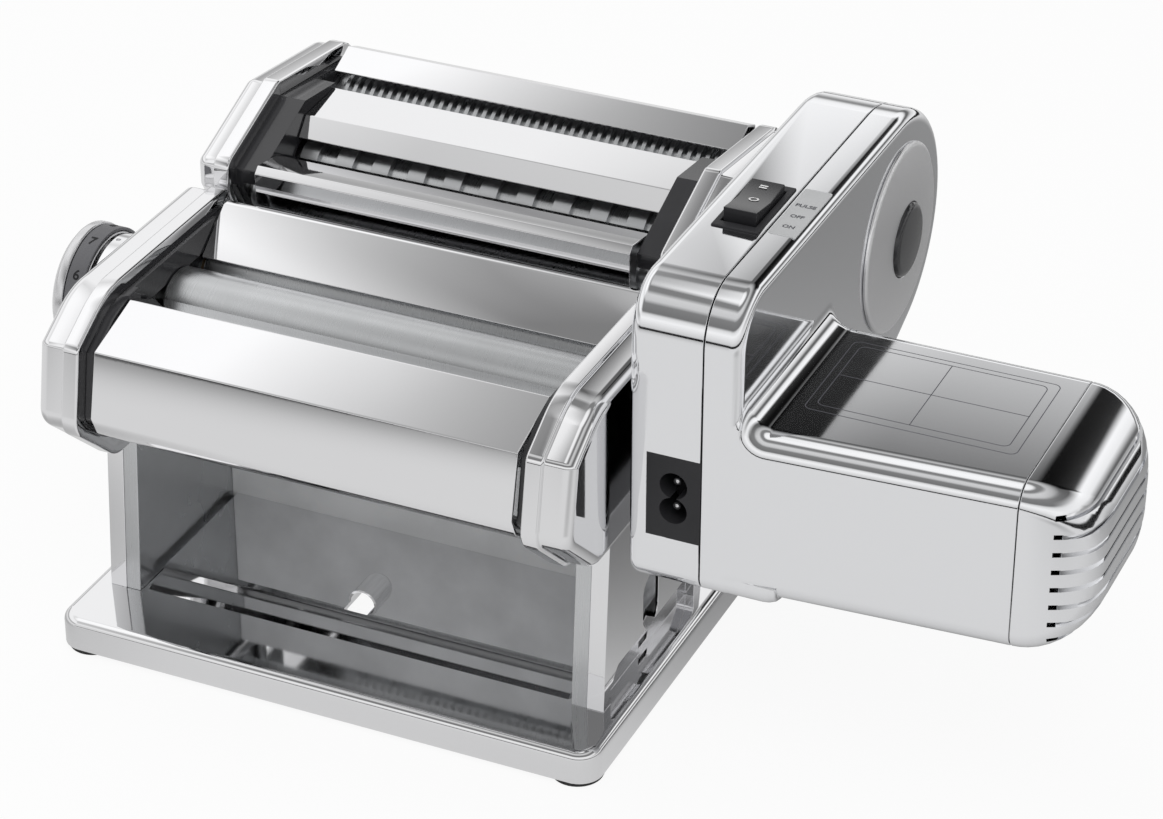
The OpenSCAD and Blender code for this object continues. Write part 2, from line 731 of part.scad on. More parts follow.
plate_half = cutter_half - 7;
CUT_FRONT = [[cutter_front + seat_gap, roller_z + 12], [cutter_front + seat_gap, 136], [cutter_front + 2.5, 138],
             [wide_y - 4, 136.3], [wide_y + 2.6, wide_z + 11]];
CUT_MIDDLE = [[48, 135.5], [53.5, 141.4], [74, 142.2], [77, 139.5]];
CUT_REAR = [[87, 141.6], [97.5, 146.2], [cutter_back - 4, 143.5], [cutter_back - 3.3, 112]];

module cutter_front_plate() {
  color("gainsboro") along_x(-plate_half, plate_half) polygon(bent(CUT_FRONT, 0.8));
}

module cutter_middle_plate() {
  color("gainsboro") along_x(-plate_half, plate_half) polygon(bent(CUT_MIDDLE, 0.8));
}

module cutter_rear_plate() {
  color("gainsboro") along_x(-cutter_half, cutter_half) polygon(bent(CUT_REAR, 0.8));
}

// Combs strip the dough from the wide and the narrow discs
module cutter_combs() {
  color("silver") {
    for (y = [wide_y - 1.5, wide_y + pair_gap + 6])
      box([-cutter_half - 0.4, y - 1, cutter_bottom + 2], [cutter_half + 0.4, y + 1, wide_z - disc_r - 2]);
    for (y = [narrow_y - 5, narrow_y + pair_gap + 5])
      box([-cutter_half - 0.4, y - 1, cutter_bottom + 4], [cutter_half + 0.4, y + 1, narrow_z - disc_r - 2]);
  }
}

module cutter_gear(x, phase) {
  along_x(x, x + 3) polygon(gear_outline(16, pair_gap / 2 + 0.8, pair_gap / 2 - 1.05, 0.5, 1.1, phase));
}

// One roller: core, journals and evenly spaced cutting discs; shift sets which gaps it fills
module cutter_roller(axis, pitch, count, shift, gear_side, phase) {
  disc = pitch / 2 - 0.1;
  span = count * pitch / 2;
  translate([0, CUTTER_AXES[axis][0], CUTTER_AXES[axis][1]]) {
    rod_x(-cutter_half, cutter_half, 0, 0, core_r);
    rod_x(-end_plate_x - end_plate_t - 0.4, end_plate_x + end_plate_t + 0.4, 0, 0, cutter_journal_r);
    for (i = [0:count - 1])
      rod_x(-span + i * pitch + shift * pitch / 2 + 0.05, -span + i * pitch + shift * pitch / 2 + disc,
            0, 0, disc_r);
    side(gear_side) {
      cutter_gear(cutter_gear_x, phase);
      rod_x(end_plate_x, cutter_gear_x + 1, 0, 0, cutter_journal_r);
    }
  }
}

module wide_front_roller() {
  color("silver") cutter_roller(0, wide_pitch, wide_count, 0, 1, 0);
}

// Adds the socket that the drive plugs into to a roller
module with_socket(axis) {
  difference() {
    union() {
      children();
      rod_x(end_plate_x + end_plate_t + 0.3, cutter_out - sheet - 1, CUTTER_AXES[axis][0], CUTTER_AXES[axis][1],
            socket_r);
    }
    translate([cutter_gear_x + 0.5, CUTTER_AXES[axis][0], CUTTER_AXES[axis][1]]) rotate([0, 90, 0])
      cylinder(h = 10, r = 3.5 / cos(30), $fn = 6);
  }
}

socket_r = 5.5;

module wide_rear_roller() {
  color("silver") with_socket(1) cutter_roller(1, wide_pitch, wide_count, 1, 1, 180 / 16);
}

module narrow_front_roller() {
  color("silver") with_socket(2) cutter_roller(2, narrow_pitch, narrow_count, 0, -1, 0);
}

module narrow_rear_roller() {
  color("silver") cutter_roller(3, narrow_pitch, narrow_count, 1, -1, 180 / 16);
}

// ---- motor drive ----------------------------------------------------------------------------

module case_outline(d) {
  polygon(rounded(inset(CASE, d), shrink(CASE_R, d)));
}

// Rounded half of the gear case from its outer side at x0 to the seam
module case_half(x0) {
  way = sign(seam_x - x0);
  hull() for (q = [[0, 3.6], [1, 1.2], [case_edge - eps, 0]]) {
    x = x0 + way * q[0];
    along_x(min(x, x + way * eps), max(x, x + way * eps)) case_outline(q[1]);
  }
  along_x(min(seam_x, x0 + way * case_edge), max(seam_x, x0 + way * case_edge)) case_outline(0);
}

// Half of the gear case that faces the machine: inlet and switch sleeves, and the shafts' bearings
module motor_inner_shell() {
  color("gainsboro") difference() {
    case_half(case_in);
    difference() {
      along_x(case_in + case_edge, seam_x + 1) case_outline(wall);
      rod_x(case_in, wheel_x - 1, drive_y, roller_z, collar_r + 3);
      rod_x(case_in, wheel_x - 3, lay_y, lay_z, lay_r + 3);
      box([inlet_x0 - 2, case_front, inlet_z - inlet_h / 2 - 2],
          [seam_x + 2, case_front + inlet_deep + 4, inlet_z + inlet_h / 2 + 2]);
      box([switch_x - switch_w / 2 - 2, switch_y - switch_l / 2 - 2, case_top - switch_deep - 2],
          [seam_x + 2, switch_y + switch_l / 2 + 2, case_top]);
    }
    rod_x(case_in - 1, case_in + 8, drive_y, roller_z, collar_r);
    rod_x(case_in + 5, seam_x + 1, drive_y, roller_z, output_r);
    rod_x(lay_x0, seam_x + 1, lay_y, lay_z, lay_r + run_fit);
    box([inlet_x0, case_front - 1, inlet_z - inlet_h / 2],
        [seam_x + 1, case_front + inlet_deep + 2, inlet_z + inlet_h / 2]);
    box([switch_x - switch_w / 2, switch_y - switch_l / 2, case_top - switch_deep],
        [switch_x + switch_w / 2, switch_y + switch_l / 2, case_top + 1]);
  }
}

case_edge = 4;        // rounding of the gear case's outer edges
cap_shoulder = 17;

module arm_slice(x, front, d, flare = 0) {
  outline_x(x, x + eps, [[front + d, arm_bottom + d], [case_front + arm_d - d, arm_bottom + d],
    [case_front + arm_d - d, arm_bottom + arm_h - d + flare], [front + d, arm_bottom + arm_h - d + flare]], 6);
}

// Cove between the gear case's side and the arm's top, as (along X, rise) steps
COVE = [[-0.5, 8], [1.1, 4], [3, 1.8], [8, 0]];

// Low belly under the arm's root, with a sloping end
module arm_belly() {
  back = case_front + arm_d - 6;
  top = arm_bottom + 6;
  hull() {
    outline_x(seam_x, case_out + 9, [[case_front, case_bottom], [back, case_bottom], [back, top], [case_front, top]],
              [6, 3, 0, 0]);
    outline_x(case_out + 13, case_out + 13 + eps,
              [[case_front + 1, arm_bottom], [back, arm_bottom], [back, top], [case_front + 1, top]], [6, 3, 0, 0]);
  }
}

// Outer half of the gear case and the arm that houses the motor
module motor_outer_shell() {
  color("gainsboro") difference() {
    union() {
      case_half(case_out);
      arm_belly();
      for (i = [0:2]) hull() for (q = [COVE[i], COVE[i + 1]]) arm_slice(case_out + q[0], case_front, 0, q[1]);
      hull() {
        arm_slice(seam_x + 3, case_front, 0);
        arm_slice(arm_end - eps, case_front + arm_draft, 0);
      }
    }
    difference() {
      along_x(seam_x - 1, case_out - wall) case_outline(wall);
      rod_x(output_end - 5, case_out, drive_y, roller_z, output_journal_r + 3);
      rod_x(lay_x1 - 1.5, case_out, lay_y, lay_z, lay_r + 3);
    }
    rod_x(seam_x, output_end + 0.5, drive_y, roller_z, output_journal_r + run_fit);
    rod_x(seam_x, lay_x1 + 0.3, lay_y, lay_z, lay_r + run_fit);
    rod_x(seam_x, can_x0 + 1, arm_y, arm_z, rotor_tail_r + run_fit);
    hull() {
      arm_slice(case_out + 4, case_front, wall);
      arm_slice(arm_end + eps, case_front + arm_draft, wall);
    }
  }
}

cap_steps = 5;

// Dome of the end cap: an elliptic shoulder between the arm's section and a small flat end
module cap_form(d) {
  hull() for (i = [0:cap_steps])
    arm_slice(arm_end + (cap_len - d - eps) * sin(90 * i / cap_steps), case_front + arm_draft,
              d + cap_shoulder * (1 - cos(90 * i / cap_steps)));
}

// Domed end cap with slots that wrap round its end
module motor_end_cap() {
  pitch = (arm_h - 5) / slot_count;
  color("gainsboro") difference() {
    cap_form(0);
    cap_form(2);
    for (i = [0:slot_count - 1])
      box([arm_end + 8, -100, arm_bottom + 2.5 + (i + 0.5) * pitch - 1.3],
          [cap_end + 5, 100, arm_bottom + 2.5 + (i + 0.5) * pitch + 1.3]);
  }
}

module motor_badge() {
  color("gainsboro") difference() {
    lathe_x(case_out, dome_y, dome_z, [[0, 0], [31.5, 0], [31.5, 0.8], [30, 1.6], [14, 3.4], [0, 3.4]]);
    rod_x(case_out + 2, case_out + 10, dome_y, dome_z, 12.5);
  }
}

module badge_boss() {
  color("black") lathe_x(case_out + 2, dome_y, dome_z, [[0, 0], [12.4, 0], [12.4, 1.8], [11, 2.8], [0, 3.4]]);
}

rocker_w = 10.6;
rocker_l = 23;
pivot_z = case_top - 2;

module switch_frame() {
  color("black") difference() {
    box([switch_x - switch_w / 2, switch_y - switch_l / 2, case_top - switch_deep],
        [switch_x + switch_w / 2, switch_y + switch_l / 2, case_top + 0.6]);
    box([switch_x - rocker_w / 2 - 0.4, switch_y - rocker_l / 2 - 1.2, case_top - 12],
        [switch_x + rocker_w / 2 + 0.4, switch_y + rocker_l / 2 + 1.2, case_top + 1]);
    rod_x(switch_x - rocker_w / 2 - 2, switch_x + rocker_w / 2 + 2, switch_y, pivot_z, 1 + run_fit);
  }
}

ROCKER = [[-rocker_l / 2, 1], [-rocker_l / 2, 6.5], [0, 4.6], [rocker_l / 2, 5.4], [rocker_l / 2, 1],
          [3, -4], [-3, -4]];

module rocker_switch() {
  color([0.1, 0.1, 0.11]) translate([0, switch_y, pivot_z]) {
    along_x(switch_x - rocker_w / 2, switch_x + rocker_w / 2) polygon(ROCKER);
    rod_x(switch_x - rocker_w / 2 - 1.6, switch_x + rocker_w / 2 + 1.6, 0, 0, 1);
  }
}

// Two-pin inlet: figure-of-eight well with its pins
module power_inlet() {
  x = (inlet_x0 + seam_x) / 2;
  color("black") {
    difference() {
      box([inlet_x0, case_front, inlet_z - inlet_h / 2], [seam_x, case_front + inlet_deep + 2, inlet_z + inlet_h / 2]);
      for (z = [-4.3, 4.3]) translate([x, case_front - 1, inlet_z + z]) rotate([-90, 0, 0])
        cylinder(h = inlet_deep, r = 4.4);
    }
    for (z = [-4.3, 4.3]) translate([x, case_front + 3, inlet_z + z]) rotate([-90, 0, 0])
      cylinder(h = inlet_deep - 3, r = 1.2);
  }
}

module motor_collar() {
  color("dimgray") difference() {
    rod_x(cover_out - 0.3, case_in + 8, drive_y, roller_z, collar_r);
    rod_x(cover_out - 1, case_in + 9, drive_y, roller_z, drive_journal_r + 0.6);
  }
}

module output_shaft() {
  color("silver") {
    translate([gear_x + 3, drive_y, roller_z]) rotate([0, 90, 0])
      cylinder(h = case_in + 6 - gear_x - 3, r = (socket_flats / 2 - 0.12) / cos(30), $fn = 6);
    rod_x(case_in + 5, seam_x - 3, drive_y, roller_z, output_r - run_fit);
    rod_x(seam_x - 3 - eps, output_end, drive_y, roller_z, output_journal_r);
  }
}

// Spur wheel or pinion of module m round an X axis; angle is the middle of one tooth
module spur(x0, x1, y, z, teeth, m, angle) {
  r = teeth * m / 2;
  translate([0, y, z]) along_x(x0, x1)
    polygon(gear_outline(teeth, r + 0.8 * m, r - 1.05 * m, 0.24 * m, 0.74 * m, angle));
}

// Large wheel on the output shaft
module output_gear() {
  color("dimgray") difference() {
    spur(wheel_x, wheel_x + wheel_w, drive_y, roller_z, wheel_teeth_2, module_2, mesh_2 + 180 + 180 / wheel_teeth_2);
    rod_x(wheel_x - 1, wheel_x + wheel_w + 1, drive_y, roller_z, output_r - run_fit);
    for (i = [0:4]) rotate_about(drive_y, roller_z, 72 * i)
      rod_x(wheel_x - 1, wheel_x + wheel_w + 1, 0, 15, 4.5);
  }
}

// Layshaft: wheel driven by the motor's pinion, and the pinion that drives the output wheel
module reduction_gear() {
  color("gray") {
    rod_x(lay_x0 + 0.3, lay_x1, lay_y, lay_z, lay_r);
    spur(wheel_x - 1.5, lay_wheel_x + eps, lay_y, lay_z, pinion_teeth, module_2, mesh_2);
    difference() {
      spur(lay_wheel_x, lay_wheel_x + wheel_w, lay_y, lay_z, wheel_teeth_1, module_1, mesh_1 + 180 / wheel_teeth_1);
      for (i = [0:3]) rotate_about(lay_y, lay_z, 90 * i)
        rod_x(lay_wheel_x - 1, lay_wheel_x + wheel_w + 1, 0, 11, 3.2);
    }
  }
}

can_r = arm_h / 2 - wall - 1.5;
can_x1 = arm_end - cap_len - 3.5;

module motor_can() {
  color("dimgray") difference() {
    rod_x(can_x0, can_x1, arm_y, arm_z, can_r);
    rod_x(can_x0 + 3, can_x1 - 3, arm_y, arm_z, can_r - 2);
    rod_x(can_x0 - 1, can_x1 + 1, arm_y, arm_z, 3 + run_fit);
  }
}

fan_r = can_r - 2;

// Rotor with its cooling fan behind the vent slots
module motor_rotor() {
  color("peru") {
    rod_x(lay_wheel_x - 0.5, can_x0 + 2, arm_y, arm_z, rotor_tail_r);
    spur(lay_wheel_x - 0.5, lay_wheel_x + wheel_w - 0.5, arm_y, arm_z, pinion_teeth, module_1, mesh_1 + 180);
    rod_x(can_x0 + 1, can_x1 + 16, arm_y, arm_z, 3);
    rod_x(can_x0 + 8, can_x1 - 8, arm_y, arm_z, can_r - 5);
    rod_x(can_x1 + 5, can_x1 + 7, arm_y, arm_z, fan_r);
    for (i = [0:8]) translate([can_x1 + 7 - eps, arm_y, arm_z]) rotate([40 * i, 0, 0])
      translate([0, 5, -0.6]) cube([8, fan_r - 7, 1.2]);
    rod_x(can_x1 + 5, can_x1 + 15, arm_y, arm_z, 5.5);
  }
}

// ---- drawing --------------------------------------------------------------------------------

base_plate();
rubber_feet();
frame(-1);  // left_frame
frame(1);  // right_frame
side_panel(-1);  // left_side_panel
side_panel(1);  // right_side_panel
back_panel();
tie_rods();
frame_screws();
head_cover(-1);  // left_cover
head_cover(1);  // right_cover
front_cover();
hopper_plate();
guard(-1);  // left_guard
guard(1);  // right_guard
roller_bushes();
rear_scraper();
index_collar();
drive_flange();
block(-1);  // left_block
block(1);  // right_block
front_scraper();
front_roller();
front_gear();
rear_roller();
rear_gear();
regulator_shaft();
left_cam();
right_cam();
knob();
knob_dial();
cutter_end(-1);  // cutter_left_end
cutter_end(1);  // cutter_right_end
cutter_cover(-1);  // cutter_left_cover
cutter_cover(1);  // cutter_right_cover
cutter_front_plate();
cutter_middle_plate();
cutter_rear_plate();
cutter_guard(-1);  // cutter_left_guard
cutter_guard(1);  // cutter_right_guard
cutter_combs();
wide_front_roller();
wide_rear_roller();
narrow_front_roller();
narrow_rear_roller();
motor_inner_shell();
motor_outer_shell();
motor_end_cap();
motor_badge();
badge_boss();
switch_frame();
power_inlet();
motor_collar();
motor_can();
output_shaft();
output_gear();
reduction_gear();
motor_rotor();
rocker_switch();
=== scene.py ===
"""Chromed table pasta machine with its cutter head and plug-in motor drive."""
import json
from math import acos, atan2, cos, pi, radians, sin, tan

import bmesh
import bpy
from bpy.props import FloatProperty, FloatVectorProperty, IntProperty, PointerProperty
from mathutils import Matrix, Vector
from mathutils.bvhtree import BVHTree


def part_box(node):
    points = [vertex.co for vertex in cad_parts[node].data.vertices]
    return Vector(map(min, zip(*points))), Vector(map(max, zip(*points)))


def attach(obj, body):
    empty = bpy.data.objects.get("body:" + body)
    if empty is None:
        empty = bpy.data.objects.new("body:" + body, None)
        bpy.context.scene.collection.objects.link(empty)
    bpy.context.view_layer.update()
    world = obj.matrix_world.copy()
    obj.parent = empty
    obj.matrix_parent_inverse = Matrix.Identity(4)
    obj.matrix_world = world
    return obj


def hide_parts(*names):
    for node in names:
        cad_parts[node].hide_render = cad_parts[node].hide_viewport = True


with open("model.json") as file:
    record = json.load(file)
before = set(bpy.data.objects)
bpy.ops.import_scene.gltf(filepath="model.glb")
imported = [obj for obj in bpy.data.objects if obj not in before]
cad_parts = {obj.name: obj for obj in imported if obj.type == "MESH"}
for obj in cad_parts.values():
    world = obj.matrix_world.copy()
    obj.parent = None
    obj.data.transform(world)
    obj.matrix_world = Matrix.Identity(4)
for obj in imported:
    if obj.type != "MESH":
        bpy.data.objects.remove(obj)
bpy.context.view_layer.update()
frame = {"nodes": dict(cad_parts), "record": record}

bl_info = {
    "name": "Pasta Machine",
    "version": (1, 0, 0),
    "blender": (4, 5, 0),
    "location": "View3D > Sidebar > Pasta Machine",
    "description": "Builds a chromed pasta machine with a cutter head and a motor drive",
    "category": "Add Mesh",
}

MM = 0.001
WELD = 2e-6  # metres between points that are merged
NODES = frame["nodes"]
BODIES = frame["record"]["behaviour"]["bodies"]
BODY_OF = {node: body for body, nodes in BODIES.items() for node in nodes}
SLOT_OF = {part["node"]: part["material_slot"] for part in frame["record"]["subparts"]}


# ---- sizes and finishes a user would change ---------------------------------------------------

class PastaSizes(bpy.types.PropertyGroup):
    """Counts of what repeats, and the height of the digits in millimetres"""
    wide_discs: IntProperty(name="Wide discs", default=11,
                            description="Discs on each wide cutter roller")
    narrow_discs: IntProperty(name="Narrow discs", default=44,
                              description="Discs on each narrow cutter roller")
    vents: IntProperty(name="Vents", default=8, description="Slots in the motor's end cap")
    digit: FloatProperty(name="Digit", default=4.6, min=2, max=6,
                         description="Height of the dial's numbers")


class PastaFinishes(bpy.types.PropertyGroup):
    """Colours and gloss of the finishes"""
    chrome: FloatVectorProperty(name="Chrome", description="Colour of the chrome",
                                subtype="COLOR", size=3, default=(0.80, 0.80, 0.81), min=0, max=1)
    chrome_roughness: FloatProperty(name="Chrome roughness", default=0.045,
                                    description="Blur of the chrome")
    plated: FloatVectorProperty(name="Plated plastic", description="Colour of the plated plastic",
                                subtype="COLOR", size=3, default=(0.82, 0.825, 0.84), min=0, max=1)
    steel: FloatVectorProperty(name="Steel", description="Colour of the ground steel",
                               subtype="COLOR", size=3, default=(0.62, 0.63, 0.64), min=0, max=1)
    black: FloatVectorProperty(name="Black", description="Colour of the moulded plastic",
                               subtype="COLOR", size=3, default=(0.018, 0.018, 0.02), min=0, max=1)


class PastaStudio(bpy.types.PropertyGroup):
    """Camera and light of the studio"""
    lens: FloatProperty(name="Lens", description="Focal length in millimetres", default=113.515)
    light: FloatProperty(name="Light", description="Strength of the plain light", default=1.0)
    floor: FloatProperty(name="Floor", description="Half width of the floor", default=6, unit="LENGTH")


# ---- shader graphs ----------------------------------------------------------------------------

class Value:
    """A shader socket that takes part in sums"""

    def __init__(self, graph, socket):
        self.graph = graph
        self.socket = socket

    def math(self, operation, *terms):
        return self.graph.add("ShaderNodeMath", {"operation": operation}, dict(enumerate(terms)))

    def __add__(self, other):
        return self.math("ADD", self, other)

    def __radd__(self, other):
        return self.math("ADD", other, self)

    def __sub__(self, other):
        return self.math("SUBTRACT", self, other)

    def __rsub__(self, other):
        return self.math("SUBTRACT", other, self)

    def __mul__(self, other):
        return self.math("MULTIPLY", self, other)

    def __rmul__(self, other):
        return self.math("MULTIPLY", other, self)

    def clamp(self, low, high):
        return self.math("MINIMUM", self.math("MAXIMUM", self, low), high)


class Graph:
    """A node tree being filled in"""

    def __init__(self, tree):
        self.tree = tree
        tree.nodes.clear()

    def add(self, kind, settings=None, inputs=None, output=0):
        node = self.tree.nodes.new(kind)
        for name, value in (settings or {}).items():
            if name == "stops":
                ramp = node.color_ramp
                for spare in list(ramp.elements)[1:]:
                    ramp.elements.remove(spare)
                ramp.elements[0].position, ramp.elements[0].color = value[0][0], grey(value[0][1])
                for position, tone in value[1:]:
                    ramp.elements.new(position).color = grey(tone)
            else:
                setattr(node, name, value)
        for key, value in (inputs or {}).items():
            if isinstance(value, Value):
                self.tree.links.new(value.socket, node.inputs[key])
            else:
                node.inputs[key].default_value = value
        return Value(self, node.outputs[output]) if node.outputs else None


def grey(tone):
    """A colour from a tone or from red, green and blue"""
    return (tone, tone, tone, 1) if isinstance(tone, (int, float)) else (*tone, 1)


def material(name, shade):
    """A new material whose surface is what shade(graph, place) returns"""
    made = bpy.data.materials.new(name)
    made.use_nodes = True
    graph = Graph(made.node_tree)
    place = graph.add("ShaderNodeTexCoord", output="Object")
    graph.add("ShaderNodeOutputMaterial", None, {"Surface": shade(graph, place)})
    return made


def noise(graph, place, scale, detail=3, stretch=None):
    if stretch:
        place = graph.add("ShaderNodeMapping", None, {"Vector": place, "Scale": stretch})
    return graph.add("ShaderNodeTexNoise", None, {"Vector": place, "Scale": scale, "Detail": detail})


def bump(graph, height, distance, strength=1):
    return graph.add("ShaderNodeBump", None, {"Height": height, "Distance": distance, "Strength": strength})


def polished(color, roughness, sag):
    """Mirror metal: faint smudges in the gloss and the long, shallow sag of pressed sheet"""
    def shade(graph, place):
        smudge = noise(graph, place, 38, 5)
        speck = noise(graph, place, 900, 2)
        sheet = noise(graph, place, 9, 1)
        gloss = roughness + (smudge - 0.45).clamp(0, 1) * 0.09 + (speck - 0.5).clamp(0, 1) * 0.03
        return graph.add("ShaderNodeBsdfPrincipled", None, {
            "Base Color": grey(tuple(color)), "Metallic": 1, "Roughness": gloss,
            "Normal": bump(graph, sheet + speck * 0.004, sag)})
    return shade


def ground(color, roughness, depth, stretch=(1, 0.012, 0.012)):
    """Ground metal: fine lines round the X axis, or along the way of stretch"""
    def shade(graph, place):
        lines = noise(graph, place, 4200, 3, stretch)
        blotch = noise(graph, place, 55, 4)
        tint = graph.add("ShaderNodeMix", {"data_type": "RGBA"},
                         {0: blotch, 6: grey(tuple(color)), 7: grey(tuple(c * 0.86 for c in color))}, 2)
        return graph.add("ShaderNodeBsdfPrincipled", None, {
            "Base Color": tint, "Metallic": 1, "Roughness": roughness + lines * 0.12 + blotch * 0.05,
            "Normal": bump(graph, lines, depth)})
    return shade


def moulded(color, roughness, grain, coat=0.0):
    """Moulded plastic or rubber: a fine eroded grain and slightly uneven gloss"""
    def shade(graph, place):
        pits = noise(graph, place, 1400, 3)
        wear = noise(graph, place, 60, 4)
        tint = graph.add("ShaderNodeMix", {"data_type": "RGBA"},
                         {0: wear, 6: grey(tuple(color)), 7: grey(tuple(c * 1.5 + 0.004 for c in color))}, 2)
        return graph.add("ShaderNodeBsdfPrincipled", None, {
            "Base Color": tint, "Roughness": roughness + wear * 0.12, "Coat Weight": coat, "IOR": 1.36,
            "Normal": bump(graph, pits, grain)})
    return shade


FINISHES = {}


def make_finishes(looks):
    chrome, plated, steel, black = looks.chrome, looks.plated, looks.steel, looks.black
    dark = tuple(0.42 * c for c in steel)
    shades = {
        "chromed_steel": polished(chrome, looks.chrome_roughness, 0.00025),
        "chromed_plastic": polished(plated, 0.06, 0.00012),
        "soft_chrome": polished((0.9, 0.9, 0.91), 0.3, 0.0004),
        "satin_steel": ground(steel, 0.2, 0.000004),
        "matt_steel": moulded((0.8, 0.81, 0.82), 0.3, 0.000003, 0.4),
        "cutter_steel": ground(steel, 0.26, 0.000004),
        "dark_steel": ground(dark, 0.34, 0.000008, (1, 1, 1)),
        "alloy": ground((0.74, 0.74, 0.75), 0.16, 0.000003, (1, 0.02, 0.02)),
        "bronze": ground((0.55, 0.38, 0.2), 0.35, 0.000008, (1, 1, 1)),
        "black_plastic": moulded(black, 0.42, 0.00002),
        "dark_gloss": moulded(black, 0.16, 0.000006, 0.5),
        "rubber": moulded((0.02, 0.02, 0.02), 0.7, 0.00004),
        "dial_grey": ground((0.2, 0.2, 0.21), 0.34, 0.000004, (1, 0.02, 0.02)),
        "label_film": ground((0.86, 0.87, 0.88), 0.3, 0.000002, (0.05, 1, 1)),
        "print_grey": moulded((0.07, 0.07, 0.08), 0.5, 0.000002),
        "print_black": moulded((0.008, 0.008, 0.009), 0.5, 0.000002),
        "print_white": moulded((0.55, 0.55, 0.55), 0.5, 0.000002),
    }
    for name, shade in shades.items():
        FINISHES[name] = material(name, shade)


# ---- outlines, in millimetres -----------------------------------------------------------------

def corner_arc(a, b, c, radius, steps):
    """Points of the arc that rounds corner b between a and c"""
    u, v = (a - b).normalized(), (c - b).normalized()
    if radius < 0.01 or abs(u.cross(v)) < 1e-6:
        return [b]
    half = acos(max(-1, min(1, u.dot(v)))) / 2
    centre = b + (u + v).normalized() * (radius / sin(half))
    first = b + u * (radius / tan(half)) - centre
    turn = (pi - 2 * half) * (-1 if u.cross(v) > 0 else 1)
    start = atan2(first.y, first.x)
    return [centre + radius * Vector((cos(start + turn * i / steps), sin(start + turn * i / steps)))
            for i in range(steps + 1)]


def rounded(points, radii, steps=10):
    """The closed outline with every corner rounded"""
    points = [Vector(p) for p in points]
    count = len(points)
    radii = radii if isinstance(radii, (list, tuple)) else [radii] * count
    out = []
    for i, p in enumerate(points):
        out += corner_arc(points[i - 1], p, points[(i + 1) % count], radii[i], steps)
    return out


def normal_of(a, b):
    way = (b - a).normalized()
    return Vector((-way.y, way.x))


def inset(points, distance):
    """A closed anticlockwise outline moved inwards"""
    points = [Vector(p) for p in points]
    out = []
    for i, p in enumerate(points):
        m, n = normal_of(points[i - 1], p), normal_of(p, points[(i + 1) % len(points)])
        s = (m + n).normalized()
        out.append(p + s * (distance / s.dot(m)))
    return out


def shrunk(radii, distance):
    return [max(r - distance, 0.5) for r in radii]


# ---- meshes -----------------------------------------------------------------------------------

def on_x(x):
    """Puts an outline point (y, z) at x millimetres"""
    return lambda p: Vector((x, p[0], p[1])) * MM


def loft(rings, close_ends=True):
    """A skin over rings of equally many points"""
    bm = bmesh.new()
    rows = [[bm.verts.new(p) for p in ring] for ring in rings]
    count = len(rows[0])
    for low, high in zip(rows, rows[1:]):
        for i in range(count):
            j = (i + 1) % count
            bm.faces.new((low[i], low[j], high[j], high[i]))
    if close_ends:
        bm.faces.new(rows[0][::-1])
        bm.faces.new(rows[-1])
    bmesh.ops.recalc_face_normals(bm, faces=bm.faces)
    return bm


def slab(outline, x0, x1):
    """An outline in Y and Z drawn out along X"""
    return loft([[on_x(x)(p) for p in outline] for x in (x0, x1)])


def plate(outline, place):
    """An outline drawn out between place(p, 0) and place(p, 1)"""
    return loft([[place(p, k) for p in outline] for k in (0, 1)])


def turned(profile, x, y, z, steps=96):
    """A closed (radius, along X) profile turned round an X axis"""
    rings = []
    for k in range(steps):
        a = 2 * pi * k / steps
        rings.append([Vector((x + h, y + r * cos(a), z + r * sin(a))) * MM for r, h in profile])
    bm = loft(rings + rings[:1], close_ends=False)
    bmesh.ops.remove_doubles(bm, verts=bm.verts, dist=1e-7)
    bmesh.ops.recalc_face_normals(bm, faces=bm.faces)
    return bm


def box_mesh(low, high):
    bm = bmesh.new()
    bmesh.ops.create_cube(bm, size=1)
    low, high = Vector(low) * MM, Vector(high) * MM
    for v in bm.verts:
        v.co = Vector([low[i] + (v.co[i] + 0.5) * (high[i] - low[i]) for i in range(3)])
    return bm


def join(*parts):
    """One mesh from several"""
    whole = bmesh.new()
    for part in parts:
        data = bpy.data.meshes.new("part")
        part.to_mesh(data)
        part.free()
        whole.from_mesh(data)
        bpy.data.meshes.remove(data)
    return whole


def solid(name, bm):
    data = bpy.data.meshes.new(name)
    bm.to_mesh(data)
    bm.free()
    made = bpy.data.objects.new(name, data)
    bpy.context.scene.collection.objects.link(made)
    return made


def apply_modifiers(made):
    """Replaces the mesh with the result of its modifiers"""
    graph = bpy.context.evaluated_depsgraph_get()
    graph.update()
    data = bpy.data.meshes.new_from_object(made.evaluated_get(graph))
    made.modifiers.clear()
    made.data = data


def cut(made, *tools):
    """Cuts closed tool meshes out of a piece"""
    for tool in tools:
        knife = solid("knife", tool)
        step = made.modifiers.new("cut", "BOOLEAN")
        step.operation, step.solver, step.object = "DIFFERENCE", "EXACT", knife
        apply_modifiers(made)
        bpy.data.objects.remove(knife)
    return made


def unite(made, *parts):
    """Joins closed meshes into a piece"""
    for part in parts:
        other = solid("other", part)
        step = made.modifiers.new("unite", "BOOLEAN")
        step.operation, step.solver, step.object = "UNION", "EXACT", other
        apply_modifiers(made)
        bpy.data.objects.remove(other)
    return made


def soften(made, width, angle=30, segments=3):
    """Rounded edges with true normals"""
    if width:
        step = made.modifiers.new("edge", "BEVEL")
        step.width, step.segments, step.angle_limit = width * MM, segments, radians(angle)
        step.limit_method = "ANGLE"
        step.use_clamp_overlap = True
        step.harden_normals = False
        apply_modifiers(made)
    for face in made.data.polygons:
        face.use_smooth = True
    step = made.modifiers.new("normals", "WEIGHTED_NORMAL")
    step.keep_sharp = True
    step.weight = 60
    apply_modifiers(made)
    return made


